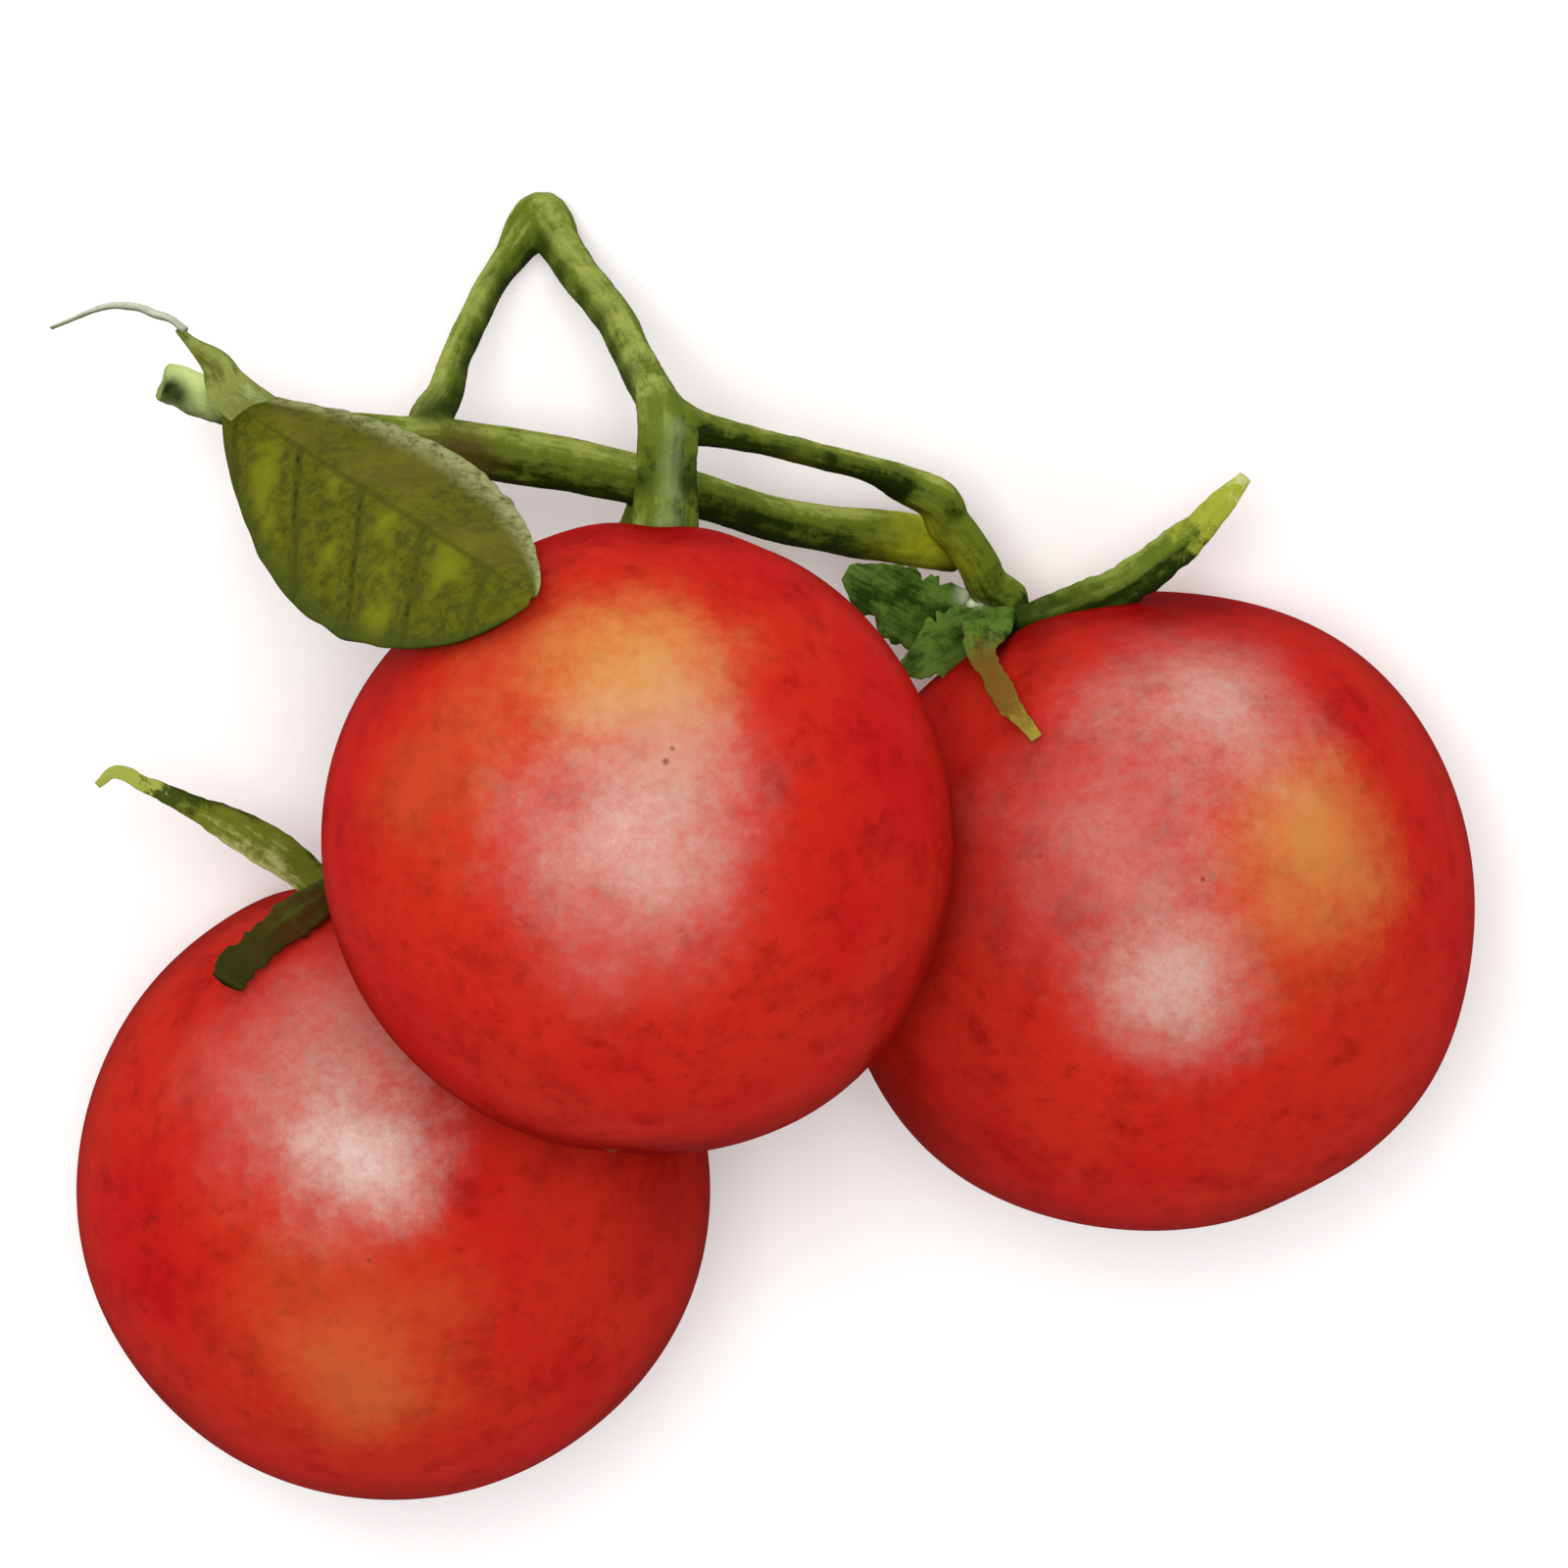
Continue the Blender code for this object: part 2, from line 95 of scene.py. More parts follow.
look = Matrix.Rotation(-TILT, 4, "X") @ Matrix.Rotation(-TURN, 4, "Y")
VIEW = look.to_3x3()
lens = bpy.data.cameras.new("lens")
lens.sensor_width = 36.0
lens.lens = 253.6
camera = bpy.data.objects.new("camera", lens)
camera.matrix_world = Matrix.Translation(AIM) @ look @ Matrix.Translation((0, 0, DISTANCE))
bpy.context.scene.collection.objects.link(camera)
bpy.context.scene.camera = camera
print("camera stands", round(camera.matrix_world.translation.z, 3), "m above the table")

# %% [markdown]
# ## Floor and light
#
# A soft light beside the camera lights the fruits from the viewer's side, as a
# window does. The pale sky fills the shadows, and a weaker light from the side of
# the stems helps the painted light in the stems' green draw the light line along the top of the vine.

# %% The floor
bpy.context.scene.view_settings.view_transform = "Standard"
table_top = bmesh.new()
bmesh.ops.create_grid(table_top, x_segments=1, y_segments=1, size=3.0)
floor_mesh = bpy.data.meshes.new("floor")
table_top.to_mesh(floor_mesh)
table_top.free()
floor = bpy.data.objects.new("floor", floor_mesh)
bpy.context.scene.collection.objects.link(floor)
paper = bpy.data.materials.new("pale_floor")
paper.use_nodes = True
paper_shader = paper.node_tree.nodes["Principled BSDF"]
paper_shader.inputs["Base Color"].default_value = (0.96, 0.96, 0.95, 1)
paper_shader.inputs["Roughness"].default_value = 0.9
floor_mesh.materials.append(paper)

# %% The lights
world = bpy.data.worlds.new("studio")
world.use_nodes = True
sky = world.node_tree.nodes["Background"]
sky.inputs["Color"].default_value = (1.0, 1.0, 1.0, 1)
sky.inputs["Strength"].default_value = 0.8
bpy.context.scene.world = world


def soft_light(name, place, size, power):
    """A square softbox that faces the truss."""
    data = bpy.data.lights.new(name, "AREA")
    data.size = size
    data.energy = power
    light = bpy.data.objects.new(name, data)
    light.location = place
    light.rotation_euler = (place - AIM).to_track_quat("Z", "Y").to_euler()
    bpy.context.scene.collection.objects.link(light)


soft_light("key", AIM + VIEW @ Vector((-0.03, 0.03, 0.62)), 0.2, 2.5)
soft_light("stem_side", AIM + Vector((-0.25, 0.5, 0.35)), 0.3, 0.7)

# %% [markdown]
# ## Measuring the plain model
#
# A fruit's place comes from its box. A stem's middle line and a sepal's width come
# from cutting the plain piece across at several places, as one slices a cucumber,
# and measuring each slice. `bisect_plane` does the cutting on a copy of the mesh.


# %% Slices of a plain piece
def long_axis(points):
    """The direction in which points spread most."""
    spread = np.cov((points - points.mean(0)).T)
    return np.linalg.eigh(spread)[1][:, -1]


def slices(node, start, count):
    """Cuts a node square across its length. The first slice is the one nearest `start`."""
    mesh = frame["nodes"][node].data
    points = np.array([vertex.co for vertex in mesh.vertices])
    axis = long_axis(points)
    lowest, highest = (points @ axis).min(), (points @ axis).max()
    at_start = np.array(start) @ axis
    if abs(at_start - lowest) > abs(at_start - highest):
        axis = -axis
    first, last = (points @ axis).min(), (points @ axis).max()
    found = []
    for share in np.linspace(0.01, 0.99, count):
        shape = bmesh.new()
        shape.from_mesh(mesh)
        cut = bmesh.ops.bisect_plane(
            shape,
            geom=shape.verts[:] + shape.edges[:] + shape.faces[:],
            plane_co=axis * (first + (last - first) * share),
            plane_no=axis,
        )
        found.append(np.array([g.co for g in cut["geom_cut"] if isinstance(g, bmesh.types.BMVert)]))
        shape.free()
    return found


def middle_line(node, start, count=7):
    """The middles of a tube's slices."""
    return [Vector(points.mean(0)) for points in slices(node, start, count)]


def middle_of(node):
    low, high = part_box(node)
    return (low + high) / 2


vine_middles = middle_line("vine_stem", cad_low)
print("the vine is", round((vine_middles[-1] - vine_middles[0]).length / MM, 1), "mm long")


# %% Where each fruit is
class Fruit:
    """A fruit's middle, its radius, and the direction of its stem end."""

    def __init__(self, name, rest=None):
        low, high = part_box(f"tomato_{name}")
        self.name = name
        self.radius = (high.x - low.x) / 2
        self.centre = Vector(((low.x + high.x) / 2, (low.y + high.y) / 2, high.z - self.radius))
        if rest:
            self.centre.y = next(m["pos_m"][1] for m in frame["record"]["mounts"] if m["name"] == rest)
        self.hub = middle_of(f"calyx_hub_{name}")
        self.axis = (self.hub - self.centre).normalized()

    def facing(self, across, up):
        """The point of the skin that shows at these shares of the radius from the middle."""
        towards = math.sqrt(max(1 - across**2 - up**2, 0))
        return self.centre + VIEW @ Vector((across, up, towards)) * self.radius


front = Fruit("front")
left = Fruit("left", "left_rest")
right = Fruit("right", "right_rest")
for fruit in (front, left, right):
    print(fruit.name, "radius", round(fruit.radius / MM, 2), "mm")

# %% [markdown]
# ## Materials: small helpers
#
# Materials here are chains of colour mixes, so a few helpers keep each step to one
# line. A mask that more than one material uses is a node group with named sockets.


# %% Node helpers
def new_material(name, roughness, **constants):
    """A Principled material. Constants go on the shader's own sockets."""
    material = bpy.data.materials.new(name)
    material.use_nodes = True
    shader = material.node_tree.nodes["Principled BSDF"]
    shader.inputs["Roughness"].default_value = roughness
    for socket, value in constants.items():
        shader.inputs[socket.replace("_", " ")].default_value = value
    return material, material.node_tree, shader


def link(tree, value, socket):
    """Joins an output to a socket, or sets the socket to a plain value."""
    if isinstance(value, bpy.types.NodeSocket):
        tree.links.new(value, socket)
    else:
        socket.default_value = (*value, 1.0) if socket.type == "RGBA" and len(value) == 3 else value


def calculate(tree, operation, *values):
    node = tree.nodes.new("ShaderNodeMath")
    node.operation = operation
    for value, socket in zip(values, node.inputs):
        link(tree, value, socket)
    return node.outputs[0]


def mix(tree, share, first, second):
    """Mixes two colours by a share."""
    node = tree.nodes.new("ShaderNodeMix")
    node.data_type = "RGBA"
    sockets = {s.identifier: s for s in node.inputs}
    link(tree, share, sockets["Factor_Float"])
    link(tree, first, sockets["A_Color"])
    link(tree, second, sockets["B_Color"])
    return next(s for s in node.outputs if s.identifier == "Result_Color")


def ramp(tree, value, low, high):
    """0 below `low`, 1 above `high`, and smooth between."""
    node = tree.nodes.new("ShaderNodeMapRange")
    node.interpolation_type = "SMOOTHSTEP"
    link(tree, value, node.inputs["Value"])
    node.inputs["From Min"].default_value = low
    node.inputs["From Max"].default_value = high
    return node.outputs["Result"]


def cloud(tree, vector, scale, detail=3.0, roughness=0.55):
    node = tree.nodes.new("ShaderNodeTexNoise")
    link(tree, vector, node.inputs["Vector"])
    node.inputs["Scale"].default_value = scale
    node.inputs["Detail"].default_value = detail
    node.inputs["Roughness"].default_value = roughness
    return node.outputs["Fac"]


def in_object(tree):
    return tree.nodes.new("ShaderNodeTexCoord").outputs["Object"]


def attribute(tree, name, output="Vector"):
    node = tree.nodes.new("ShaderNodeAttribute")
    node.attribute_name = name
    return node.outputs[output]


def bump(tree, height, distance, strength=1.0):
    node = tree.nodes.new("ShaderNodeBump")
    node.inputs["Distance"].default_value = distance
    node.inputs["Strength"].default_value = strength
    tree.links.new(height, node.inputs["Height"])
    return node.outputs["Normal"]


# %% [markdown]
# ### A soft patch
#
# Orange shoulders, painted highlights, painted shade and dark specks all are patches
# round a point on the skin. The group measures how far a point is from the patch's
# middle, frays that distance with noise, and gives a mask that fades towards the edge.
# It fades fast, so a patch is given about twice the reach that it seems to have.


# %% The soft patch group
def new_group(name, inputs, outputs):
    group = bpy.data.node_groups.new(name, "ShaderNodeTree")
    for label, kind in inputs.items():
        group.interface.new_socket(name=label, in_out="INPUT", socket_type=kind)
    for label, kind in outputs.items():
        group.interface.new_socket(name=label, in_out="OUTPUT", socket_type=kind)
    return group, group.nodes.new("NodeGroupInput"), group.nodes.new("NodeGroupOutput")


soft_patch, entry, result = new_group(
    "Soft patch",
    {
        "Vector": "NodeSocketVector",
        "Middle": "NodeSocketVector",
        "Reach": "NodeSocketFloat",
        "Fray": "NodeSocketFloat",
    },
    {"Mask": "NodeSocketFloat"},
)
apart = soft_patch.nodes.new("ShaderNodeVectorMath")
apart.operation = "DISTANCE"
soft_patch.links.new(entry.outputs["Vector"], apart.inputs[0])
soft_patch.links.new(entry.outputs["Middle"], apart.inputs[1])
broad = calculate(soft_patch, "SUBTRACT", cloud(soft_patch, entry.outputs["Vector"], 160.0, 2.0), 0.5)
grain = calculate(soft_patch, "SUBTRACT", cloud(soft_patch, entry.outputs["Vector"], 900.0, 6.0, 0.7), 0.5)
frayed = calculate(soft_patch, "ADD", broad, calculate(soft_patch, "MULTIPLY", grain, 0.7))
share = calculate(soft_patch, "DIVIDE", apart.outputs["Value"], entry.outputs["Reach"])
share = calculate(soft_patch, "ADD", share, calculate(soft_patch, "MULTIPLY", frayed, entry.outputs["Fray"]))
faded = ramp(soft_patch, calculate(soft_patch, "SUBTRACT", 1.0, share), 0.0, 1.0)
soft_patch.links.new(calculate(soft_patch, "POWER", faded, 1.6), result.inputs["Mask"])
print("group:", soft_patch.name)


# %% Placing the group
def patch(tree, place, reach, fray=0.5):
    """The mask of a soft patch round a place on the object."""
    node = tree.nodes.new("ShaderNodeGroup")
    node.node_tree = soft_patch
    tree.links.new(in_object(tree), node.inputs["Vector"])
    node.inputs["Middle"].default_value = place
    node.inputs["Reach"].default_value = reach
    node.inputs["Fray"].default_value = fray
    return node.outputs["Mask"]


# %% [markdown]
# ## The fruits
#
# A vine tomato is nearly round, with a hollow where the stem joins, faint shoulders
# and a small scar at the other end. A ball of fine rings is pushed in and out along
# its own radius, which keeps the shape smooth. The two lower fruits are pressed flat
# where they touch the table. A swelling is a place, a height and a spread in radians.

# %% The skin's shape
WAVE_HEIGHT = 0.12 * MM
SHOULDER_HEIGHT, SHOULDER_RING, SHOULDER_WIDTH = 0.13 * MM, 6 * MM, 4 * MM
HOLLOW_DEPTH, HOLLOW_WIDTH = 0.9 * MM, 5.0 * MM
DIMPLE_DEPTH, DIMPLE_WIDTH = 0.35 * MM, 2.6 * MM
SCAR_HEIGHT, SCAR_WIDTH = 0.25 * MM, 0.55 * MM


def skin_height(fruit, outward, swellings):
    """How far the skin stands out from a true ball, in one direction from the middle."""
    along = outward.dot(fruit.axis)
    off_axis = math.sqrt(max(1 - along**2, 0)) * fruit.radius
    height = WAVE_HEIGHT * noise.noise(outward * 1.7 + fruit.centre * 90)
    side = fruit.axis.orthogonal().normalized()
    turn = math.atan2(outward.dot(fruit.axis.cross(side)), outward.dot(side))
    if along > 0:
        shoulders = math.exp(-(((off_axis - SHOULDER_RING) / SHOULDER_WIDTH) ** 2))
        height += SHOULDER_HEIGHT * math.cos(5 * turn + fruit.radius / MM) * shoulders
        height -= HOLLOW_DEPTH * math.exp(-((off_axis / HOLLOW_WIDTH) ** 2))
    else:
        height -= DIMPLE_DEPTH * math.exp(-((off_axis / DIMPLE_WIDTH) ** 2))
        height += SCAR_HEIGHT * math.exp(-((off_axis / SCAR_WIDTH) ** 2))
    for place, swell, spread in swellings:
        angle = outward.angle((place - fruit.centre).normalized())
        height += swell * math.exp(-((angle / spread) ** 2))
    return height


def make_skin(fruit, swellings, material):
    shape = bmesh.new()
    bmesh.ops.create_uvsphere(shape, u_segments=192, v_segments=128, radius=1.0)
    turn = fruit.axis.to_track_quat("Z", "Y").to_matrix()
    bmesh.ops.rotate(shape, matrix=turn, verts=shape.verts)
    for vertex in shape.verts:
        outward = vertex.co.normalized()
        height = skin_height(fruit, outward, swellings)
        vertex.co = fruit.centre + outward * (fruit.radius + height)
        vertex.co.z = max(vertex.co.z, 0.0)
    mesh = bpy.data.meshes.new(f"skin_{fruit.name}")
    shape.to_mesh(mesh)
    shape.free()
    mesh.shade_smooth()
    mesh.materials.append(material)
    piece = bpy.data.objects.new(f"skin_{fruit.name}", mesh)
    bpy.context.scene.collection.objects.link(piece)
    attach(piece, "root")
    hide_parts(f"tomato_{fruit.name}")
    print(piece.name, len(mesh.polygons), "faces")


# %% [markdown]
# ### The skin's colour
#
# Ripe skin is a deep red that clouds into warmer red. Patches that ripened last are
# orange. Pale patches with a fine grain are painted highlights, each with a paler
# painted core. Painted shade, a darker red, closes round the sides as the camera sees
# them and lies along the rims and where one fruit shades another. A few specks and
# the scar are brown. All of it is mixed into the base colour, so it stays on the
# fruit from any side.


# %% The skin's material
# The darkest red serves the skin's dark strokes and smudges, and also the painted shade.
DEEP_RED_AND_SHADE = (0.16, 0.002, 0.002)
RED = (0.40, 0.006, 0.006)
RED_WARM = (0.43, 0.018, 0.008)
ORANGE = (0.48, 0.21, 0.05)
# The next two colours are painted highlights: pale patches that stand in for the light's reflection.
PAINTED_HIGHLIGHT = (0.45, 0.275, 0.225)
PAINTED_HIGHLIGHT_CORE = (0.60, 0.46, 0.40)
SPECK_BROWN = (0.09, 0.012, 0.008)
SCAR_BROWN = (0.12, 0.06, 0.025)
SCAR_REACH = 0.9 * MM


def make_skin_material(fruit, oranges, painted_highlights, painted_highlight_cores, painted_shades, specks):
    """Each patch is a place, a reach and a strength. A speck has no strength of its own."""
    material, tree, shader = new_material(
        f"ripe_skin_{fruit.name}", 0.4, Subsurface_Weight=0.05, Coat_Weight=0.03, Coat_Roughness=0.28
    )
    shader.inputs["Subsurface Radius"].default_value = (1.0, 0.25, 0.12)
    shader.inputs["Subsurface Scale"].default_value = 2 * MM
    shader.inputs["Specular IOR Level"].default_value = 0.0
    vector = in_object(tree)
    clouds = cloud(tree, vector, 55.0, 4.0)
    strokes = cloud(tree, vector, 750.0, 6.0, 0.75)
    colour = mix(tree, ramp(tree, clouds, 0.3, 0.62), RED, RED_WARM)
    colour = mix(tree, calculate(tree, "MULTIPLY", ramp(tree, strokes, 0.5, 0.75), 0.5), colour, DEEP_RED_AND_SHADE)
    smudges = ramp(tree, cloud(tree, vector, 260.0, 5.0, 0.7), 0.46, 0.72)
    colour = mix(tree, calculate(tree, "MULTIPLY", smudges, 0.45), colour, DEEP_RED_AND_SHADE)
    for place, reach, strength in oranges:
        mask = calculate(tree, "MULTIPLY", patch(tree, place, reach, 0.7), strength)
        colour = mix(tree, mask, colour, ORANGE)
    fine = ramp(tree, cloud(tree, vector, 1500.0, 4.0, 0.8), 0.25, 0.7)
    fine = calculate(tree, "MULTIPLY_ADD", fine, 0.45, 0.55)
    # Painted highlights, grained with the fine cloud.
    for place, reach, strength in painted_highlights:
        mask = calculate(tree, "MULTIPLY", patch(tree, place, reach, 0.6), strength)
        colour = mix(tree, calculate(tree, "MULTIPLY", mask, fine), colour, PAINTED_HIGHLIGHT)
    # Paler painted cores in the middle of the painted highlights.
    for place, reach, strength in painted_highlight_cores:
        mask = calculate(tree, "MULTIPLY", patch(tree, place, reach, 0.8), strength)
        colour = mix(tree, calculate(tree, "MULTIPLY", mask, fine), colour, PAINTED_HIGHLIGHT_CORE)
    for place, reach in specks:
        mask = calculate(tree, "MULTIPLY", patch(tree, place, reach, 1.2), 0.7)
        colour = mix(tree, mask, colour, SPECK_BROWN)
    # Painted shade: a darker red round the sides as the camera sees them, lighter again on the far side.
    from_face = tree.nodes.new("ShaderNodeVectorMath")
    from_face.operation = "DISTANCE"
    tree.links.new(vector, from_face.inputs[0])
    from_face.inputs[1].default_value = fruit.facing(0.0, 0.05)
    in_radii = calculate(tree, "DIVIDE", from_face.outputs["Value"], fruit.radius)
    clouded = calculate(tree, "MULTIPLY_ADD", clouds, 0.5, in_radii)
    painted_rim_shade = calculate(tree, "MULTIPLY_ADD", ramp(tree, clouded, 1.6, 2.0), -0.5, 0.85)
    painted_rim_shade = calculate(tree, "MULTIPLY", ramp(tree, clouded, 1.34, 1.70), painted_rim_shade)
    colour = mix(tree, painted_rim_shade, colour, DEEP_RED_AND_SHADE)
    # Painted shade on the rims and where another fruit shades this one.
    for place, reach, strength in painted_shades:
        mask = calculate(tree, "MULTIPLY", patch(tree, place, reach, 0.7), strength)
        colour = mix(tree, mask, colour, DEEP_RED_AND_SHADE)
    scar = patch(tree, fruit.centre - fruit.axis * fruit.radius, SCAR_REACH, 0.5)
    colour = mix(tree, scar, colour, SCAR_BROWN)
    tree.links.new(colour, shader.inputs["Base Color"])
    rough = calculate(tree, "MULTIPLY_ADD", strokes, 0.22, 0.27)
    tree.links.new(rough, shader.inputs["Roughness"])
    pores = cloud(tree, vector, 1100.0, 5.0, 0.7)
    tree.links.new(bump(tree, pores, 0.03 * MM, 0.6), shader.inputs["Normal"])
    return material


# %% The three fruits
front_skin = make_skin_material(
    front,
    oranges=(
        (front.facing(0.0, 0.50), 11.0 * MM, 1.0),
        (front.facing(-0.62, 0.22), 12.0 * MM, 0.14),
        (front.facing(-0.25, 0.5), 12.0 * MM, 0.22),
    ),
    painted_highlights=(
        (front.facing(-0.03, 0.05), 13.0 * MM, 0.75),
        (front.facing(0.12, 0.3), 11.0 * MM, 0.35),
        (front.facing(0.0, -0.15), 12.0 * MM, 0.25),
    ),
    painted_highlight_cores=((front.facing(-0.05, 0.04), 6.0 * MM, 0.22), (front.facing(0.03, -0.08), 4.0 * MM, 0.15)),
    painted_shades=(
        (front.facing(0.1, 0.99), 13.0 * MM, 0.9),
        (front.facing(0.2, 0.98), 8.0 * MM, 0.6),
        (front.facing(0.1, -0.99), 9.0 * MM, 0.8),
        (front.facing(0.9, -0.42), 9.0 * MM, 0.2),
    ),
    specks=((front.facing(0.1, 0.24), 0.35 * MM), (front.facing(0.12, 0.28), 0.25 * MM)),
)
left_skin = make_skin_material(
    left,
    oranges=((left.facing(-0.08, -0.42), 15.0 * MM, 0.17), (left.facing(-0.1, -0.6), 9.0 * MM, 0.2)),
    painted_highlights=(
        (left.facing(-0.08, 0.14), 9.5 * MM, 1.0),
        (left.facing(-0.25, 0.36), 13.0 * MM, 0.42),
        (left.facing(-0.05, 0.6), 11.0 * MM, 0.25),
    ),
    painted_highlight_cores=((left.facing(-0.1, 0.15), 6.0 * MM, 0.8), (left.facing(0.0, 0.08), 6.0 * MM, 0.4)),
    painted_shades=((left.facing(0.75, 0.3), 9.0 * MM, 0.9), (left.facing(0.85, -0.1), 8.0 * MM, 0.4)),
    specks=((left.facing(-0.72, -0.08), 0.4 * MM), (left.facing(-0.04, -0.2), 0.3 * MM)),
)
right_skin = make_skin_material(
    right,
    oranges=((right.facing(0.47, 0.22), 10.5 * MM, 0.76), (right.facing(0.4, -0.05), 11.0 * MM, 0.2)),
    painted_highlights=(
        (right.facing(0.14, 0.64), 12.0 * MM, 0.75),
        (right.facing(0.02, -0.22), 9.5 * MM, 0.85),
        (right.facing(-0.15, 0.22), 14.0 * MM, 0.45),
    ),
    painted_highlight_cores=((right.facing(0.02, -0.22), 5.0 * MM, 0.2), (right.facing(0.12, 0.62), 6.0 * MM, 0.2)),
    painted_shades=(
        (right.facing(0.0, 0.99), 16.0 * MM, 1.0),
        (right.facing(0.05, 0.99), 9.0 * MM, 0.7),
        (right.facing(-0.45, 0.86), 10.0 * MM, 0.8),
        (right.facing(-0.72, -0.62), 11.0 * MM, 0.6),
        (right.facing(-0.85, -0.1), 10.0 * MM, 0.5),
    ),
    specks=((right.facing(-0.37, 0.17), 0.35 * MM), (right.facing(0.12, 0.1), 0.25 * MM)),
)
make_skin(
    front,
    (
        (front.facing(0.64, -0.77), 0.6 * MM, 0.5),
        (front.facing(-0.64, 0.77), -0.5 * MM, 0.45),
        (front.facing(0.1, 0.99), 0.35 * MM, 0.45),
    ),
    front_skin,
)
make_skin(
    left,
    (
        (left.facing(-0.97, -0.2), 0.15 * MM, 0.45),
        (left.facing(0.96, -0.25), 0.3 * MM, 0.4),
    ),
    left_skin,
)
make_skin(
    right,
    (
        (right.facing(0.7, 0.7), 0.45 * MM, 0.4),
        (right.facing(-0.66, -0.75), 0.55 * MM, 0.45),
        (right.facing(0.84, -0.53), 0.4 * MM, 0.35),
        (right.facing(0.05, 0.99), -0.35 * MM, 0.35),
    ),
    right_skin,
)

# %% [markdown]
# ## Stems that grow into each other
#
# The vine, the arch, the fork and the fruits' stems are one grown thing, with no
# joints to be seen. Each branch is first drawn out as a tube: a ring of points is
# extruded again and again along the branch's middle line. The tubes are then fused
# with a voxel remesh and smoothed, so that each fork gets its soft web of tissue.


# %% Smooth paths
def smooth_path(points, spacing):
    """A Catmull-Rom curve through rows of numbers, such as x, y, z and a radius."""
    rows = np.array(points, float)
    padded = np.vstack([2 * rows[0] - rows[1], rows, 2 * rows[-1] - rows[-2]])
    path = []
    for before, start, end, after in zip(padded, padded[1:], padded[2:], padded[3:]):
        steps = max(int(np.linalg.norm((end - start)[:3]) / spacing), 2)
        for t in np.arange(steps) / steps:
            square = 2 * before - 5 * start + 4 * end - after
            cube = 3 * start - before - 3 * end + after
            path.append(start + ((end - before) * t + square * t**2 + cube * t**3) / 2)
    path.append(rows[-1])
    return np.array(path)


def ring_frames(line, side):
    """At each place along a line: the middle, a side direction, and the direction across both.

    The side is one direction to start from, or a list with one for each place.
    """
    frames = []
    for index, middle in enumerate(line):
        tangent = line[min(index + 1, len(line) - 1)] - line[max(index - 1, 0)]
        tangent = Vector(tangent).normalized()
        wanted = Vector(side[index]) if isinstance(side, list) else Vector(side)
        across = (wanted - tangent * wanted.dot(tangent)).normalized()
        frames.append((Vector(middle), across, across.cross(tangent)))
        if not isinstance(side, list):
            side = across
    return frames


# %% Extruding a ring along a path
def extrude_along(shape, frames, profile, corners=20):
    """A tube. profile(index, angle) gives a corner's place as shares of the two directions."""
    turn = shape.verts.layers.float.get("turn") or shape.verts.layers.float.new("turn")
    start = bmesh.ops.create_circle(shape, cap_ends=False, segments=corners, radius=1.0)["verts"]
    for vertex in start:
        vertex[turn] = math.atan2(vertex.co.y, vertex.co.x)
    ring = start
    edges = list({edge for vertex in ring for edge in vertex.link_edges})
    rings = []
    for index, (middle, side, up) in enumerate(frames):
        if index:
            grown = bmesh.ops.extrude_edge_only(shape, edges=edges)["geom"]
            ring = [g for g in grown if isinstance(g, bmesh.types.BMVert)]
            edges = [g for g in grown if isinstance(g, bmesh.types.BMEdge)]
            edges = [edge for edge in edges if all(v in ring for v in edge.verts)]
        for vertex in ring:
            x, y = profile(index, vertex[turn])
            vertex.co = middle + side * x + up * y
        rings.append(ring)
    for end in (rings[0], rings[-1]):
        loop = list({e for v in end for e in v.link_edges if all(w in end for w in e.verts)})
        bmesh.ops.contextual_create(shape, geom=loop)


# %% The branches
def beside(place, across, up, towards):
    """The point this many mm to the right of a place, above it and nearer to the viewer."""
    return place + VIEW @ Vector((across, up, towards)) * MM


def nudged(points, place, shift, reach):
    """Moves the points near a place, in mm to the right, up and towards the viewer."""
    move = VIEW @ Vector(shift) * MM
    return [point + move * math.exp(-(((point - place).length / reach) ** 2)) for point in points]


fork = middle_of("fork")
rise = middle_line("arch_rise", middle_of("vine_stem"))
arch_top = middle_of("arch_knuckle")
fall = middle_line("arch_fall", arch_top)
vine = middle_line("vine_stem", cad_low, 13)
right_near = middle_line("stem_right_near", fork)
right_far = middle_line("stem_right_far", middle_of("stem_right_knuckle"))
left_near = middle_line("stem_left_near", fork)
left_near = nudged(left_near, left_near[2], (1.4, 0.0, 0.0), 5 * MM)
left_far = middle_line("stem_left_far", middle_of("stem_left_knuckle"))
leaf_stalk = middle_line("leaf_stalk", middle_of("vine_stem"), 3)


def nearest(line, place):
    return min(line, key=lambda point: (point - place).length)


def with_radii(points, *radii):
    """Adds a radius in millimetres to each point, spread evenly from the few that are given."""
    spread = np.interp(np.linspace(0, 1, len(points)), np.linspace(0, 1, len(radii)), radii)
    return [(*point, radius * MM) for point, radius in zip(points, spread)]


right_knee = middle_of("stem_right_knuckle")
right_line = nudged([*right_near, right_knee, *right_far], right_knee, (-1.25, 0.0, 0.0), 3 * MM)

arch_top = beside(arch_top, 0.0, 0.45, 0.0)
trunk_top = beside(fork, -0.45, 0.0, 0.0)
fall = nudged(fall, fall[3], (0.4, 0.25, 0.0), 5 * MM)
trunk_foot = front.hub - front.axis * 1.6 * MM
trunk_line = [fall[-2], trunk_top, trunk_top.lerp(front.hub, 0.5), front.hub, trunk_foot]

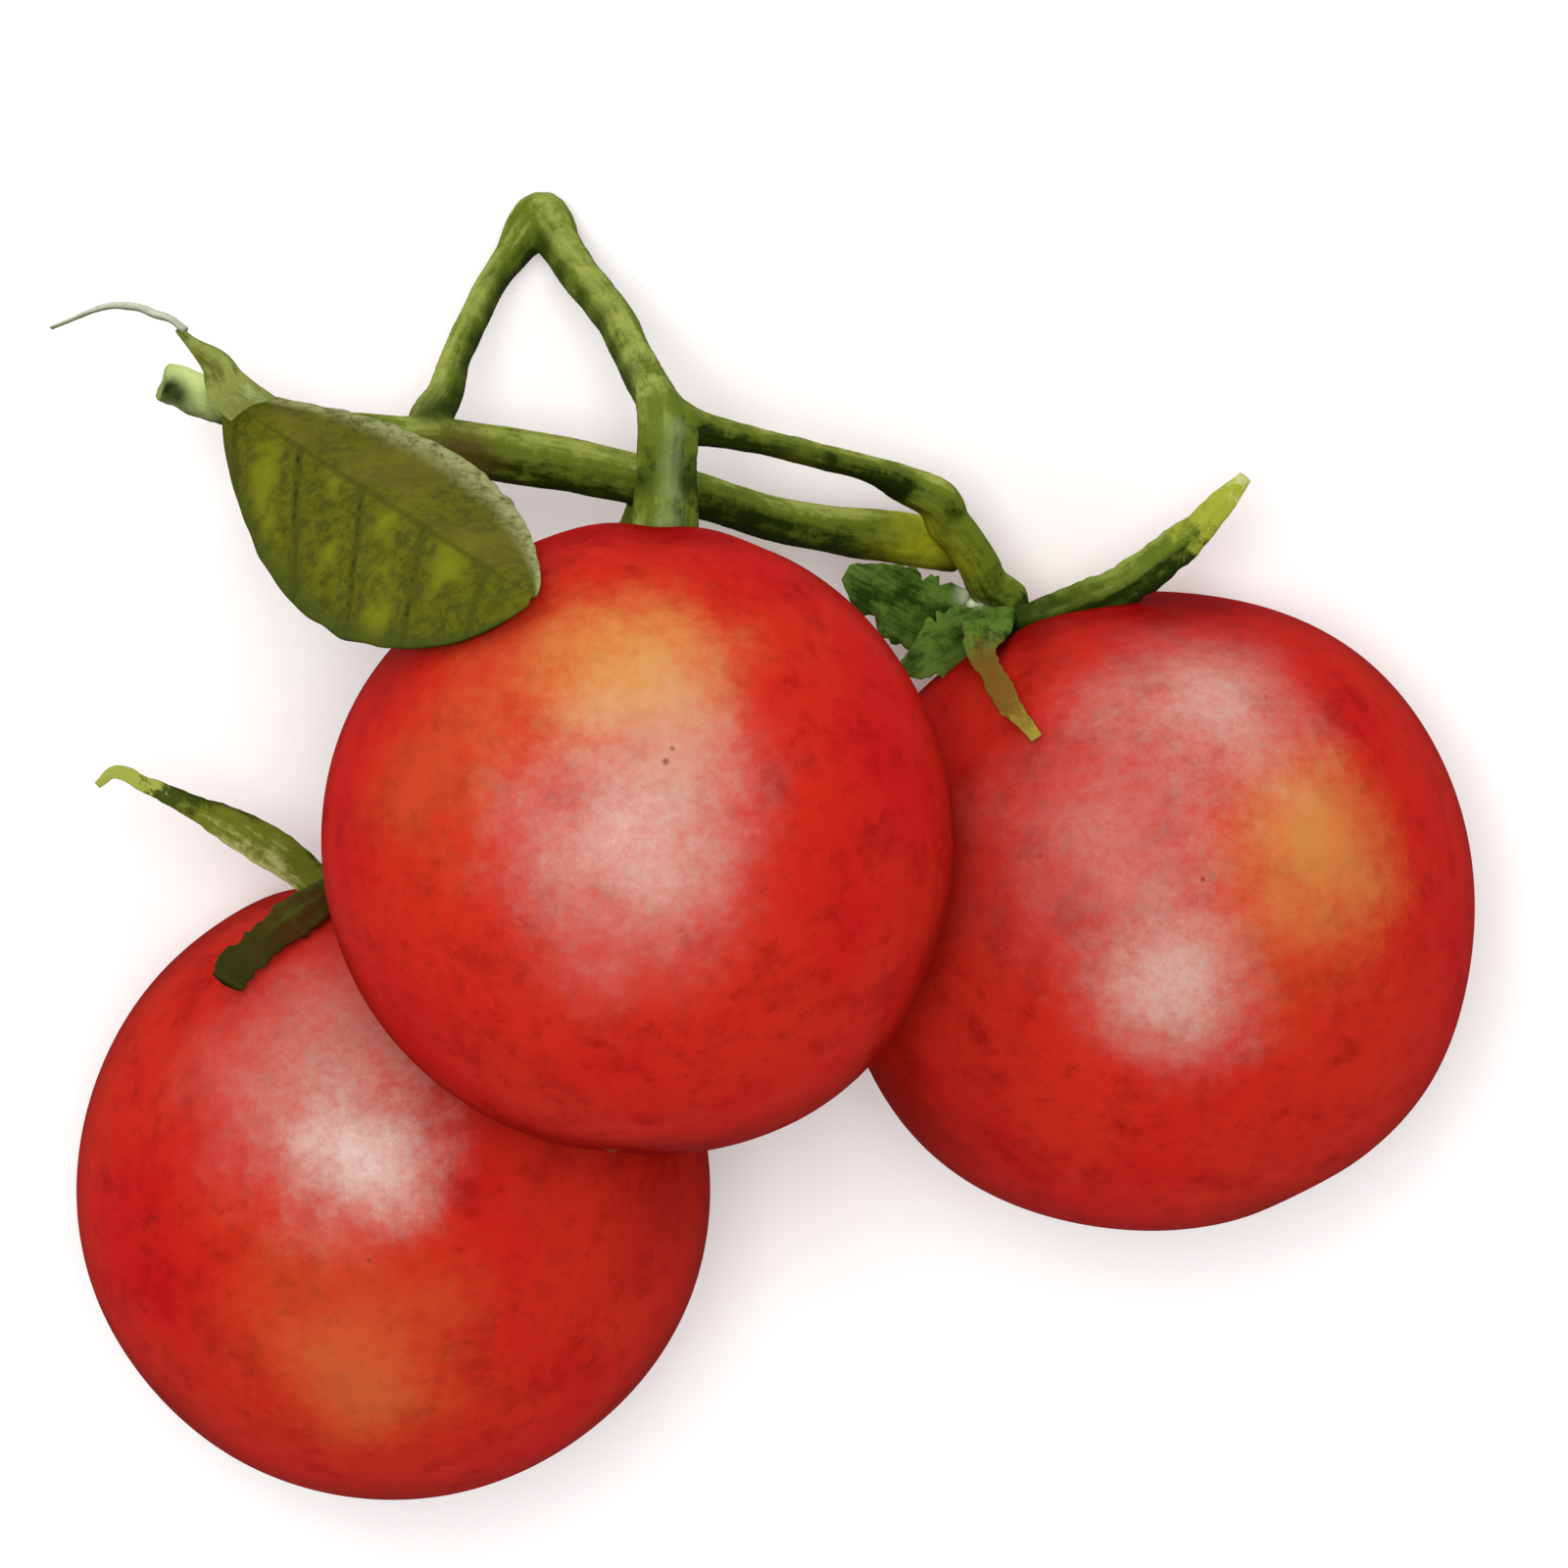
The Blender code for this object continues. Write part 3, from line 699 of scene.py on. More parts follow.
branches = {
    "vine": with_radii(vine, 1.3, 1.4, 1.55, 1.75, 1.85, 1.8, 1.7, 1.5, 1.45, 1.55, 1.75, 1.65),
    "arch": [
        *with_radii([nearest(vine, rise[0]), *rise], 1.9, 1.4, 1.1, 1.0, 1.0, 1.0, 1.15),
        *with_radii([arch_top], 1.8),
        *with_radii([*fall, trunk_top], 1.4, 1.3, 1.3, 1.3, 1.3, 1.35, 1.7),
    ],
    "trunk": with_radii(trunk_line, 0.8, 1.85, 1.95, 2.1, 2.3),
    "right": with_radii(
        [fork, *right_line, right.hub],
        1.6, 1.0, 0.85, 0.85, 0.9, 1.1, 1.45, 1.45, 1.35, 1.35, 1.4, 1.5,
    ),
    "left": with_radii(
        [nearest(vine, left_near[0]), *left_near, middle_of("stem_left_knuckle"), *left_far, left.hub],
        1.4, 1.1, 1.1, 1.3, 1.45, 1.2, 1.15, 1.2, 1.5,
    ),
    "leaf_stalk": with_radii([nearest(vine, leaf_stalk[0]), *leaf_stalk], 1.3, 0.9, 0.75),
}
for number in range(1, 6):
    rib = [point.lerp(front.hub, 0.55) for point in middle_line(f"sepal_front_{number}", front.hub, 5)]
    branches[f"rib_{number}"] = with_radii(rib, 0.55, 0.5, 0.4, 0.25)
print("branches:", {name: len(line) for name, line in branches.items()})


# %% Tubes and hubs
STEM_STEP = 0.5 * MM
STEM_RIBS = 5
HUB_RADIUS = 1.75 * MM


def tube(shape, line, rib_depth):
    """A stem with faint ribs along it. Their depth is a share of the stem's radius."""
    path = smooth_path(line, STEM_STEP)
    frames = ring_frames(path[:, :3], VIEW.col[1])

    def profile(index, angle):
        radius = path[index][3] * (1 + rib_depth * math.cos(STEM_RIBS * angle))
        return radius * math.cos(angle), radius * math.sin(angle)

    extrude_along(shape, frames, profile)
    return path, frames


body = bmesh.new()
paths = {}
for name, line in branches.items():
    paths[name] = tube(body, line, 0.1 if name == "trunk" else 0.04)
for fruit in (front, left, right):
    hub = bmesh.ops.create_uvsphere(body, u_segments=24, v_segments=12, radius=HUB_RADIUS)["verts"]
    bmesh.ops.scale(body, vec=(1, 1, 0.6), verts=hub)
    bmesh.ops.rotate(body, matrix=fruit.axis.to_track_quat("Z", "Y").to_matrix(), verts=hub)
    bmesh.ops.translate(body, vec=fruit.hub, verts=hub)
body.normal_update()
plain = bpy.data.meshes.new("plain_stems")
body.to_mesh(plain)
body.free()
print("plain stems:", len(plain.polygons), "faces")

# %% Fusing them
VOXEL = 0.18 * MM

fusing = bpy.data.objects.new("fusing", plain)
bpy.context.scene.collection.objects.link(fusing)
remesh = fusing.modifiers.new("Fuse", "REMESH")
remesh.mode = "VOXEL"
remesh.voxel_size = VOXEL
graph = bpy.context.evaluated_depsgraph_get()
fused = bpy.data.meshes.new_from_object(fusing.evaluated_get(graph))
bpy.data.objects.remove(fusing)
soft = bmesh.new()
soft.from_mesh(fused)
for _ in range(8):
    bmesh.ops.smooth_vert(
        soft, verts=soft.verts, factor=0.5, use_axis_x=True, use_axis_y=True, use_axis_z=True
    )
print("fused stems:", len(soft.faces), "faces")

# %% [markdown]
# ### Fibres
#
# Light and dark fibres run along every stem. The remesh has no memory of the
# branches, so each point looks up the nearest place on a middle line and stores
# how far along it is and on which side. The point is also lifted a little where a
# fibre stands proud, and the material later streaks the colour by the same values.
# The vine's cut end is roughened, and a small hollow is pressed into it.

# %% Storing the fibres on the fused stems
# A made-up sun: painted light on the green parts comes from this side. No lamp stands there.
PAINTED_SUN = (VIEW @ Vector((-0.35, 0.93, 0.1))).normalized()

FIBRE_RING = 1.3 * MM
FIBRE_STRETCH = 7
BRANCH_SHIFT = 31 * MM
RIDGE_HEIGHT, KNOT_HEIGHT = 0.07 * MM, 0.08 * MM
ROUGH_HEIGHT, ROUGH_REACH = 0.3 * MM, 3 * MM
HOLLOW_PRESS, HOLLOW_REACH = 0.45 * MM, 0.6 * MM

cut_hollow = beside(vine[0], 0.5, -0.5, 0.9)
stations = [
    (ring, index * STEM_STEP + BRANCH_SHIFT * number)
    for number, (path, frames) in enumerate(paths.values())
    for index, ring in enumerate(frames)
]
nearest_station = KDTree(len(stations))
for index, (ring, _) in enumerate(stations):
    nearest_station.insert(ring[0], index)
nearest_station.balance()
fibre = soft.verts.layers.float_vector.new("fibre")
lit = soft.verts.layers.float.new("lit")
soft.normal_update()
for vertex in soft.verts:
    (middle, side, up), along = stations[nearest_station.find(vertex.co)[1]]
    offset = vertex.co - middle
    x, y = offset.dot(side), offset.dot(up)
    size = max(math.hypot(x, y), 1e-6)
    spot = Vector((x / size * FIBRE_RING, y / size * FIBRE_RING, along / FIBRE_STRETCH))
    vertex[fibre] = spot
    # The side towards the made-up sun is later painted lighter and the far side darker.
    vertex[lit] = vertex.normal.dot(PAINTED_SUN)
    from_end = (vertex.co - vine[0]).length
    from_hollow = (vertex.co - cut_hollow).length
    lift = RIDGE_HEIGHT * noise.fractal(spot * 2300, 0.9, 2.2, 3)
    lift += KNOT_HEIGHT * noise.noise(vertex.co * 420)
    lift += ROUGH_HEIGHT * math.exp(-((from_end / ROUGH_REACH) ** 2)) * noise.noise(vertex.co * 900)
    lift -= HOLLOW_PRESS * math.exp(-((from_hollow / HOLLOW_REACH) ** 2))
    vertex.co += vertex.normal * lift
stems_mesh = bpy.data.meshes.new("stems")
soft.to_mesh(stems_mesh)
soft.free()
stems_mesh.shade_smooth()


# %% [markdown]
# ### The colour of green parts
#
# Stems and sepals share one streaky green: dark, middle and light fibres, with painted
# light on the side towards a made-up sun and painted shade on the side away from it.
# The group mixes them, and each material sets its own three greens. Small patches paint
# a highlight on the cut end and shade in its hollow, make the other end yellow and the
# joints dark, and paint shade along the arch and at the trunk's edges. Bands across a
# blade give a sepal its light or brown tip, and one paints shade at a sepal's root.


# %% The fibre group
fibres, entry, result = new_group(
    "Green fibres",
    {
        "Vector": "NodeSocketVector",
        "Fibre": "NodeSocketVector",
        "Lit": "NodeSocketFloat",
        "Dark": "NodeSocketColor",
        "Middle": "NodeSocketColor",
        "Light": "NodeSocketColor",
    },
    {"Color": "NodeSocketColor", "Height": "NodeSocketFloat"},
)
coarse = cloud(fibres, entry.outputs["Fibre"], 900.0, 4.0, 0.6)
thin = cloud(fibres, entry.outputs["Fibre"], 3600.0, 5.0, 0.7)
height = calculate(fibres, "MULTIPLY_ADD", thin, 0.3, calculate(fibres, "MULTIPLY", coarse, 0.7))
blotches = calculate(fibres, "SUBTRACT", cloud(fibres, entry.outputs["Vector"], 420.0, 6.0, 0.75), 0.5)
tone = calculate(fibres, "MULTIPLY_ADD", blotches, 1.0, height)
# Painted light and shade: the side towards the made-up sun is paler, the far side darker.
tone = calculate(fibres, "MULTIPLY_ADD", entry.outputs["Lit"], 0.42, tone)
colour = mix(fibres, ramp(fibres, tone, 0.22, 0.56), entry.outputs["Dark"], entry.outputs["Middle"])
colour = mix(fibres, ramp(fibres, tone, 0.62, 0.98), colour, entry.outputs["Light"])
fibres.links.new(colour, result.inputs["Color"])
fibres.links.new(height, result.inputs["Height"])


# %% Green materials
def make_green(name, dark, middle, light, tints=(), bands=(), shading=1.0, shift=0.0, roughness=0.55):
    """Tints are patches round a place. Bands start and are full at shares of a blade's length.

    Shading is how much paler painted light makes the side towards the made-up sun, and shift moves the whole
    tone.
    """
    material, tree, shader = new_material(name, roughness, Coat_Weight=0.05, Coat_Roughness=0.35)
    shader.inputs["Specular IOR Level"].default_value = 0.0
    node = tree.nodes.new("ShaderNodeGroup")
    node.node_tree = fibres
    tree.links.new(in_object(tree), node.inputs["Vector"])
    tree.links.new(attribute(tree, "fibre"), node.inputs["Fibre"])
    lit_tone = calculate(tree, "MULTIPLY_ADD", attribute(tree, "lit", "Fac"), shading, shift)
    tree.links.new(lit_tone, node.inputs["Lit"])
    for socket, value in (("Dark", dark), ("Middle", middle), ("Light", light)):
        link(tree, value, node.inputs[socket])
    colour = node.outputs["Color"]
    for start, full, strength, tint in bands:
        waves = cloud(tree, in_object(tree), 900.0, 5.0, 0.7)
        wavy = calculate(tree, "MULTIPLY_ADD", waves, 0.5, attribute(tree, "along", "Fac"))
        mask = calculate(tree, "MULTIPLY", ramp(tree, wavy, start + 0.25, full + 0.25), strength)
        colour = mix(tree, mask, colour, tint)
    for place, reach, strength, tint in tints:
        mask = calculate(tree, "MULTIPLY", patch(tree, place, reach, 0.8), strength)
        colour = mix(tree, mask, colour, tint)
    tree.links.new(colour, shader.inputs["Base Color"])
    tree.links.new(bump(tree, node.outputs["Height"], 0.09 * MM, 0.6), shader.inputs["Normal"])
    return material


# %% The stems' green
GREEN_DARK = (0.012, 0.022, 0.002)
GREEN = (0.085, 0.118, 0.010)
GREEN_LIGHT = (0.24, 0.28, 0.055)
YELLOW_GREEN = (0.34, 0.37, 0.015)
# A painted highlight green for the trunk's middle.
TRUNK_HIGHLIGHT = (0.27, 0.36, 0.16)
# A painted highlight green for the top of the vine's cut end.
PAINTED_HIGHLIGHT_GREEN = (0.52, 0.62, 0.24)
# A near-white painted highlight spot, used near the right fruit's stem end.
PAINTED_GLINT = (0.75, 0.8, 0.55)
JOINT_BROWN = (0.08, 0.05, 0.012)

stem_green = make_green(
    "stem_green", GREEN_DARK, GREEN, GREEN_LIGHT,
    tints=(
        # A painted highlight on the top of the vine's cut end.
        (beside(vine[0], 2.2, 0.8, 0.8), 5.5 * MM, 0.85, PAINTED_HIGHLIGHT_GREEN),
        # Painted shade inside the hollow pressed into the cut end.
        (cut_hollow, 1.7 * MM, 1.0, GREEN_DARK),
        (beside(cut_hollow, 0.6, -0.35, 0), 1.8 * MM, 1.0, GREEN_DARK),
        (beside(vine[-1], -2.6, 0.5, 1.4), 6.5 * MM, 1.0, YELLOW_GREEN),
        # Painted shade on the underside of the vine's other end.
        (beside(vine[-1], -0.5, -1.9, 0.6), 3.0 * MM, 0.9, GREEN_DARK),
        (beside(fork, -0.9, 1.4, 1.2), 2.8 * MM, 0.8, GREEN),
        (beside(right_near[3], 0, 0.2, 0.8), 4.0 * MM, 0.5, GREEN),
        (beside(nearest(vine, rise[0]), 1.5, -0.5, 1.5), 4.0 * MM, 0.7, JOINT_BROWN),
        (beside(rise[0], 0.3, 0.5, 1.0), 3.6 * MM, 0.95, GREEN_DARK),
        # Painted shade along the shaded side of each of the arch's two legs.
        *((beside(place, 0.9, -0.4, 0.5), 2.6 * MM, 0.85, GREEN_DARK) for place in rise[1:6]),
        *((beside(place, -0.9, -0.4, 0.5), 2.8 * MM, 0.75, GREEN_DARK) for place in fall[0:6]),
        # A painted highlight down the trunk's side towards the viewer, and painted shade at its left and
        # right edges.
        *((beside(fork.lerp(front.hub, down), 0.3, 0, 2), 1.9 * MM, 0.35, TRUNK_HIGHLIGHT)
          for down in (0.1, 0.4, 0.7, 1.0)),
        *((beside(fork.lerp(front.hub, 0.6), across, 0, 1.2), 2.0 * MM, 0.9, GREEN_DARK)
          for across in (-1.6, 1.6)),
        # A painted highlight spot on the stem by the right fruit.
        (beside(right.hub, -1.2, 1.0, 1.0), 1.0 * MM, 0.9, PAINTED_GLINT),
    ),
)
stems_mesh.materials.append(stem_green)
stems = bpy.data.objects.new("grown_stems", stems_mesh)
bpy.context.scene.collection.objects.link(stems)
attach(stems, "root")
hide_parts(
    "vine_stem", "fork", "arch_rise", "arch_knuckle", "arch_fall", "stem_front", "leaf_stalk",
    *(f"stem_{side}_{part}" for side in ("left", "right") for part in ("near", "knuckle", "far")),
    *(f"calyx_hub_{name}" for name in ("front", "left", "right")),
    *(f"sepal_front_{number}" for number in range(1, 6)),
)
print("stems:", len(stems_mesh.polygons), "faces")

# %% [markdown]
# ## Sepals
#
# Five sepals stand round each stem end. A sepal is a narrow blade, thick along its
# middle and thin at its ragged edges, and its tip dries and curls. It is drawn out
# like a stem, along the middles of the plain sepal's slices, but with a flat
# profile. Places, widths and turns come from the slices. Where a sepal shows more
# shape than the plain one has, its half widths, bow and turned tip are given too.


# %% Measuring a blade
SUDDEN_TURN = 0.7


def blade_line(node, start, count):
    """Each slice's middle, half width and side direction. The side never turns suddenly."""
    rows, sides = [], []
    for points in slices(node, start, count):
        middle = points.mean(0)
        side = long_axis(points)
        if sides and side @ sides[-1] < 0:
            side = -side
        if sides and side @ sides[-1] < SUDDEN_TURN:
            side = sides[-1]
        reach = (points - middle) @ side
        sides.append(side)
        rows.append((*middle, (reach.max() - reach.min()) / 2, *side))
    return rows


# %% Making a blade
BLADE_STEP = 0.3 * MM
THINNEST_HALF = 0.12 * MM
THINNEST_BODY = 0.14 * MM


def shaped_rows(rows, halves, bow, tip, hook, facing):
    """A blade's rows, bent and widened as make_blade says."""
    rows = np.array(rows)
    shares = np.linspace(0, 1, len(rows))
    bow, tip = (np.array(VIEW @ Vector(shift)) * MM for shift in (bow, tip))
    rows[:, :3] += np.outer(np.sin(np.pi * shares), bow) + np.outer(shares**4, tip)
    if halves:
        rows[:, 3] = np.interp(shares, np.linspace(0, 1, len(halves)), halves) * MM
    for index, row in enumerate(rows):
        tangent = rows[min(index + 1, len(rows) - 1), :3] - rows[max(index - 1, 0), :3]
        flat = np.array(Vector(tangent).cross(VIEW.col[2]).normalized())
        if flat @ row[4:] <= 0 and facing != 1:
            flat = -flat
        row[4:] = row[4:] * (1 - facing) + flat * facing
    if hook:
        end = rows[-1].copy()
        end[:3] += np.array(VIEW @ Vector(hook)) * MM
        end[3] *= 0.6
        rows = np.vstack([rows, end])
    return rows


def make_blade(
    name, node, start, material, slot, body_share=0.35, root=None, ragged=0.12,
    halves=(), bow=(0, 0, 0), tip=(0, 0, 0), hook=None, facing=0.0, cuts=9,
):
    """A finished sepal in place of a plain one.

    Halves are half widths in mm from root to tip. Bow, tip and hook are shifts in mm
    to the right, up and towards the viewer: of the middle, of the tip, and of one more
    point past the tip. Facing turns the blade flat to the viewer.
    """
    rows = blade_line(node, start, cuts)
    if root is not None:
        rows.insert(0, (*root, rows[0][3], *rows[0][4:]))
    path = smooth_path(shaped_rows(rows, halves, bow, tip, hook, facing), BLADE_STEP)
    frames = ring_frames(path[:, :3], [row[4:7] for row in path])
    last = len(path) - 1
    seed = Vector(path[0][:3]) * 900
    shape = bmesh.new()

    def profile(index, angle):
        t = index / last
        half = max(path[index][3], THINNEST_HALF)
        edge_place = seed + Vector((t * 14, math.copysign(3, math.cos(angle)), 0))
        fringe = 1 + ragged * noise.fractal(edge_place, 0.8, 2.1, 3) * (0.4 + t)
        thick = max(half * body_share, THINNEST_BODY) * (1 - 0.35 * t)
        x = math.cos(angle) * half * fringe
        lens_share = abs(math.sin(angle)) ** 1.2
        rib = 0.25 * thick * math.exp(-((math.cos(angle) / 0.16) ** 2))
        y = math.copysign(thick * lens_share + rib, math.sin(angle)) + 0.12 * half * math.cos(angle) ** 2
        return x, y

    extrude_along(shape, frames, profile, corners=28)
    fibre = shape.verts.layers.float_vector.new("fibre")
    lit = shape.verts.layers.float.new("lit")
    along = shape.verts.layers.float.new("along")
    shape.normal_update()
    bmesh.ops.recalc_face_normals(shape, faces=shape.faces)
    shape.normal_update()
    nearest_frame = KDTree(len(frames))
    for index, (middle, _, _) in enumerate(frames):
        nearest_frame.insert(middle, index)
    nearest_frame.balance()
    for vertex in shape.verts:
        index = nearest_frame.find(vertex.co)[1]
        middle, side, up = frames[index]
        offset = vertex.co - middle
        down_blade = index * BLADE_STEP / FIBRE_STRETCH
        vertex[fibre] = Vector((offset.dot(side), offset.dot(up), down_blade)) + seed / 900
        # The side towards the made-up sun is later painted lighter and the far side darker.
        vertex[lit] = vertex.normal.dot(PAINTED_SUN)
        vertex[along] = index / last
        wrinkle = noise.noise(vertex.co * 1100)
        vertex.co += vertex.normal * wrinkle * 0.05 * MM
    mesh = bpy.data.meshes.new(name)
    shape.to_mesh(mesh)
    shape.free()
    mesh.shade_smooth()
    mesh.materials.append(material)
    piece = bpy.data.objects.new(name, mesh)
    bpy.context.scene.collection.objects.link(piece)
    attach(piece, "root")
    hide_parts(node)


# %% The left fruit's sepals
sepal_green = make_green("sepal_green", GREEN_DARK, GREEN, GREEN_LIGHT)
left_green = make_green(
    "left_sepal_green", (0.02, 0.03, 0.003), (0.12, 0.15, 0.015), (0.42, 0.47, 0.16), shading=-1.2,
    bands=((0.60, 0.68, 0.9, (0.03, 0.045, 0.004)), (0.76, 0.82, 1.0, (0.26, 0.30, 0.05))),
)
# A brown sepal, painted darker still as shade where it lies under the front fruit.
left_brown_and_shade = make_green(
    "left_sepal_brown_and_shade", (0.014, 0.008, 0.002), (0.050, 0.020, 0.004), (0.05, 0.06, 0.010),
    bands=((0.55, 0.9, 0.8, (0.022, 0.030, 0.004)),),
)
left_shapes = {
    1: {
        "material": left_green, "body_share": 0.5, "halves": (1.0, 1.2, 1.35, 1.3, 0.85, 0.6, 0.45),
        "bow": (0, 0.1, 0), "tip": (0.5, 0.55, 0), "hook": (-1.3, -0.9, 0), "facing": 1.0,
    },
    2: {
        "material": left_brown_and_shade, "halves": (0.9, 1.2, 1.4, 1.3, 1.25), "tip": (-0.8, -0.3, 0.2),
        "facing": 0.6, "ragged": 0.25,
    },
    3: {}, 4: {}, 5: {},
}
for number, shape in left_shapes.items():
    node = f"sepal_left_{number}"
    details = {"material": sepal_green, "root": left.hub} | shape
    make_blade(f"left_{node}", node, left.hub, slot="stem", **details)
print("left sepals:", len(left_shapes))

# %% The right fruit's sepals
leafy = ((0.015, 0.035, 0.003), (0.09, 0.155, 0.022), (0.24, 0.32, 0.11))
# A painted highlight spot on the right fruit's sepals.
painted_glint_patch = (beside(right.hub, -2.2, 1.5, 1.2), 1.5 * MM, 0.9, PAINTED_GLINT)
right_green = make_green("right_sepal_green", *leafy, tints=(painted_glint_patch,), shading=0.35, shift=-0.3)
right_brown = make_green(
    "right_sepal_brown", *leafy, tints=(painted_glint_patch,), shading=0.2, shift=-0.2,
    bands=((0.35, 0.65, 0.85, (0.16, 0.065, 0.010)), (0.80, 1.0, 0.9, (0.27, 0.22, 0.03))),
)
horn_green = make_green(
    "horn_sepal_green", GREEN_DARK, (0.085, 0.12, 0.010), (0.18, 0.24, 0.04),
    shading=1.6, shift=-0.2,
    bands=(
        # This band paints shade dark at the horn's root, where it meets the stem.
        (0.55, 0.1, 0.9, GREEN_DARK),
        (0.68, 0.84, 0.9, (0.28, 0.31, 0.03)),
        (0.92, 0.99, 0.8, (0.42, 0.47, 0.18)),
    ),
)
right_shapes = {
    1: {
        "material": horn_green, "body_share": 0.7, "halves": (1.2, 1.4, 1.45, 1.4, 1.3, 1.0, 0.45),
        "bow": (1.2, -1.75, 0.4), "facing": 1.0,
    },
    2: {
        "material": right_brown, "root": beside(right.hub, -2.0, 1.0, 0.4),
        "halves": (1.4, 1.7, 1.5, 0.85, 0.8, 0.35), "ragged": 0.25,
        "bow": (-1.2, 0, 0.1), "facing": 1.0, "cuts": 5,
    },
    3: {
        "body_share": 0.15, "halves": (1.6, 2.4, 2.6, 1.2, 0.3), "ragged": 0.3,
        "bow": (-0.6, -0.6, 0.3), "tip": (-0.5, 0.6, 0), "facing": 1.0,
    },
    4: {
        "body_share": 0.15, "halves": (1.6, 2.4, 2.5, 2.1, 0.6), "ragged": 0.3,
        "bow": (-0.4, 0.4, 0.5), "tip": (0, 0.9, 0), "facing": 1.0,
    },
    5: {
        "material": horn_green, "root": beside(right.hub, 0, -0.3, -0.8),
        "bow": (0, -1.0, -1.2), "tip": (0, -1.5, -1.5),
    },
}
for number, shape in right_shapes.items():
    node = f"sepal_right_{number}"
    details = {"material": right_green, "root": right.hub} | shape
    make_blade(f"right_{node}", node, right.hub, slot="stem", **details)
print("right sepals:", len(right_shapes))

# %% [markdown]
# ## The leaf
#
# One leaf grows beside the vine's left end and lies over the front fruit's shoulder.
# It is a grid, bent to the plain leaf's two edges and its midrib. Between the side
# veins the blade swells, and its upper margin is crumpled. Solidify gives it a wall.


# %% Measuring the leaf
leaf_points = np.array([v.co for v in frame["nodes"]["leaf_blade"].data.vertices])
leaf_base = leaf_stalk[-1]
leaf_tip = Vector(max(leaf_points, key=lambda p: np.linalg.norm(p - np.array(leaf_base))))
chord = leaf_tip - leaf_base
offsets = [Vector(p) - leaf_base for p in leaf_points]
offsets = [o - chord * (o.dot(chord) / chord.length_squared) for o in offsets]
lower_side = max(offsets, key=lambda o: o.length)
lower_half = lower_side.length
lower_side = lower_side.normalized()
upper_side = max((o for o in offsets if o.dot(lower_side) < 0), key=lambda o: o.length)
upper_half = upper_side.length
upper_side = upper_side.normalized()
leaf_face = lower_side.cross(chord).normalized()
if leaf_face.dot(VIEW.col[2]) < 0:
    leaf_face = -leaf_face
print("leaf", round(chord.length / MM, 1), "mm long,", round((lower_half + upper_half) / MM, 1), "mm wide")

# %% The leaf's shape
VEIN_SPACING = 0.205
VEIN_START = 0.05
VEIN_SLANT = 0.9
LEAF_WALL = 0.35 * MM
CROWN_HEIGHT, QUILT_HEIGHT, WAVY_HEIGHT = 0.5 * MM, 0.16 * MM, 0.25 * MM
MIDRIB_DEPTH, MIDRIB_WIDTH = 0.12 * MM, 0.5 * MM


def leaf_point(t, s):
    """A place on the blade. t runs from base to tip, and s from -1 at the upper edge to 1."""
    if s > 0:
        side, widest, late, blunt = lower_side, lower_half, 1.3, 0.58
    else:
        side, widest, late, blunt = upper_side, upper_half * 1.08, 1.05, 0.68
    width = widest * math.sin(math.pi * t**late) ** blunt
    out = width * abs(s)
    slanted = t - VEIN_SLANT * out / chord.length
    vein = abs(((slanted - VEIN_START) / VEIN_SPACING + 0.5) % 1 - 0.5) * 2
    quilt = math.sin(vein * math.pi / 2) * min(abs(s) * 4, 1) * (1 - abs(s) ** 3)
    midrib = math.exp(-((out / MIDRIB_WIDTH) ** 2))
    bulge = CROWN_HEIGHT * (1 - s * s) + QUILT_HEIGHT * quilt - MIDRIB_DEPTH * midrib
    bulge += WAVY_HEIGHT * noise.noise(Vector((t * 5, s * 3, 1.0)))
    bulge *= min(width / (1.5 * MM), 1.0)
    edge = 1.0
    if s < -0.5:
        edge += 0.05 * noise.noise(Vector((t * 26, 4.0, 0.0))) * (-s - 0.5) * 2
    if s > 0.5:
        edge += 0.02 * noise.noise(Vector((t * 16, 9.0, 0.0))) * (s - 0.5) * 2
    return leaf_base + chord * t + side * out * edge + leaf_face * bulge


blade = bmesh.new()
bmesh.ops.create_grid(blade, x_segments=72, y_segments=110, size=0.5)
vein_layer = blade.verts.layers.float_vector.new("vein")
for vertex in blade.verts:
    s = vertex.co.x * 2
    t = 0.5 - 0.4985 * math.cos(math.pi * (vertex.co.y + 0.5))
    vertex.co = leaf_point(t, s)
    side_width = (lower_half if s > 0 else upper_half) * math.sin(math.pi * t)
    slanted = t - VEIN_START - VEIN_SLANT * side_width * abs(s) / chord.length
    vertex[vein_layer] = Vector((t, s, slanted / VEIN_SPACING))
leaf_mesh = bpy.data.meshes.new("leaf")
blade.to_mesh(leaf_mesh)
blade.free()
leaf_mesh.shade_smooth()
leaf = bpy.data.objects.new("leaf", leaf_mesh)
bpy.context.scene.collection.objects.link(leaf)
wall = leaf.modifiers.new("Wall", "SOLIDIFY")
wall.thickness = LEAF_WALL
wall.offset = 0.0

# %% The leaf's colour
OLIVE_DARK = (0.045, 0.050, 0.004)
OLIVE = (0.085, 0.092, 0.004)
OLIVE_LIGHT = (0.175, 0.185, 0.006)
LEAF_BROWN = (0.105, 0.083, 0.013)
LEAF_MARGIN = (0.24, 0.26, 0.11)
LOWER_EDGE = (0.035, 0.05, 0.006)
VEIN_DARK = (0.018, 0.024, 0.002)

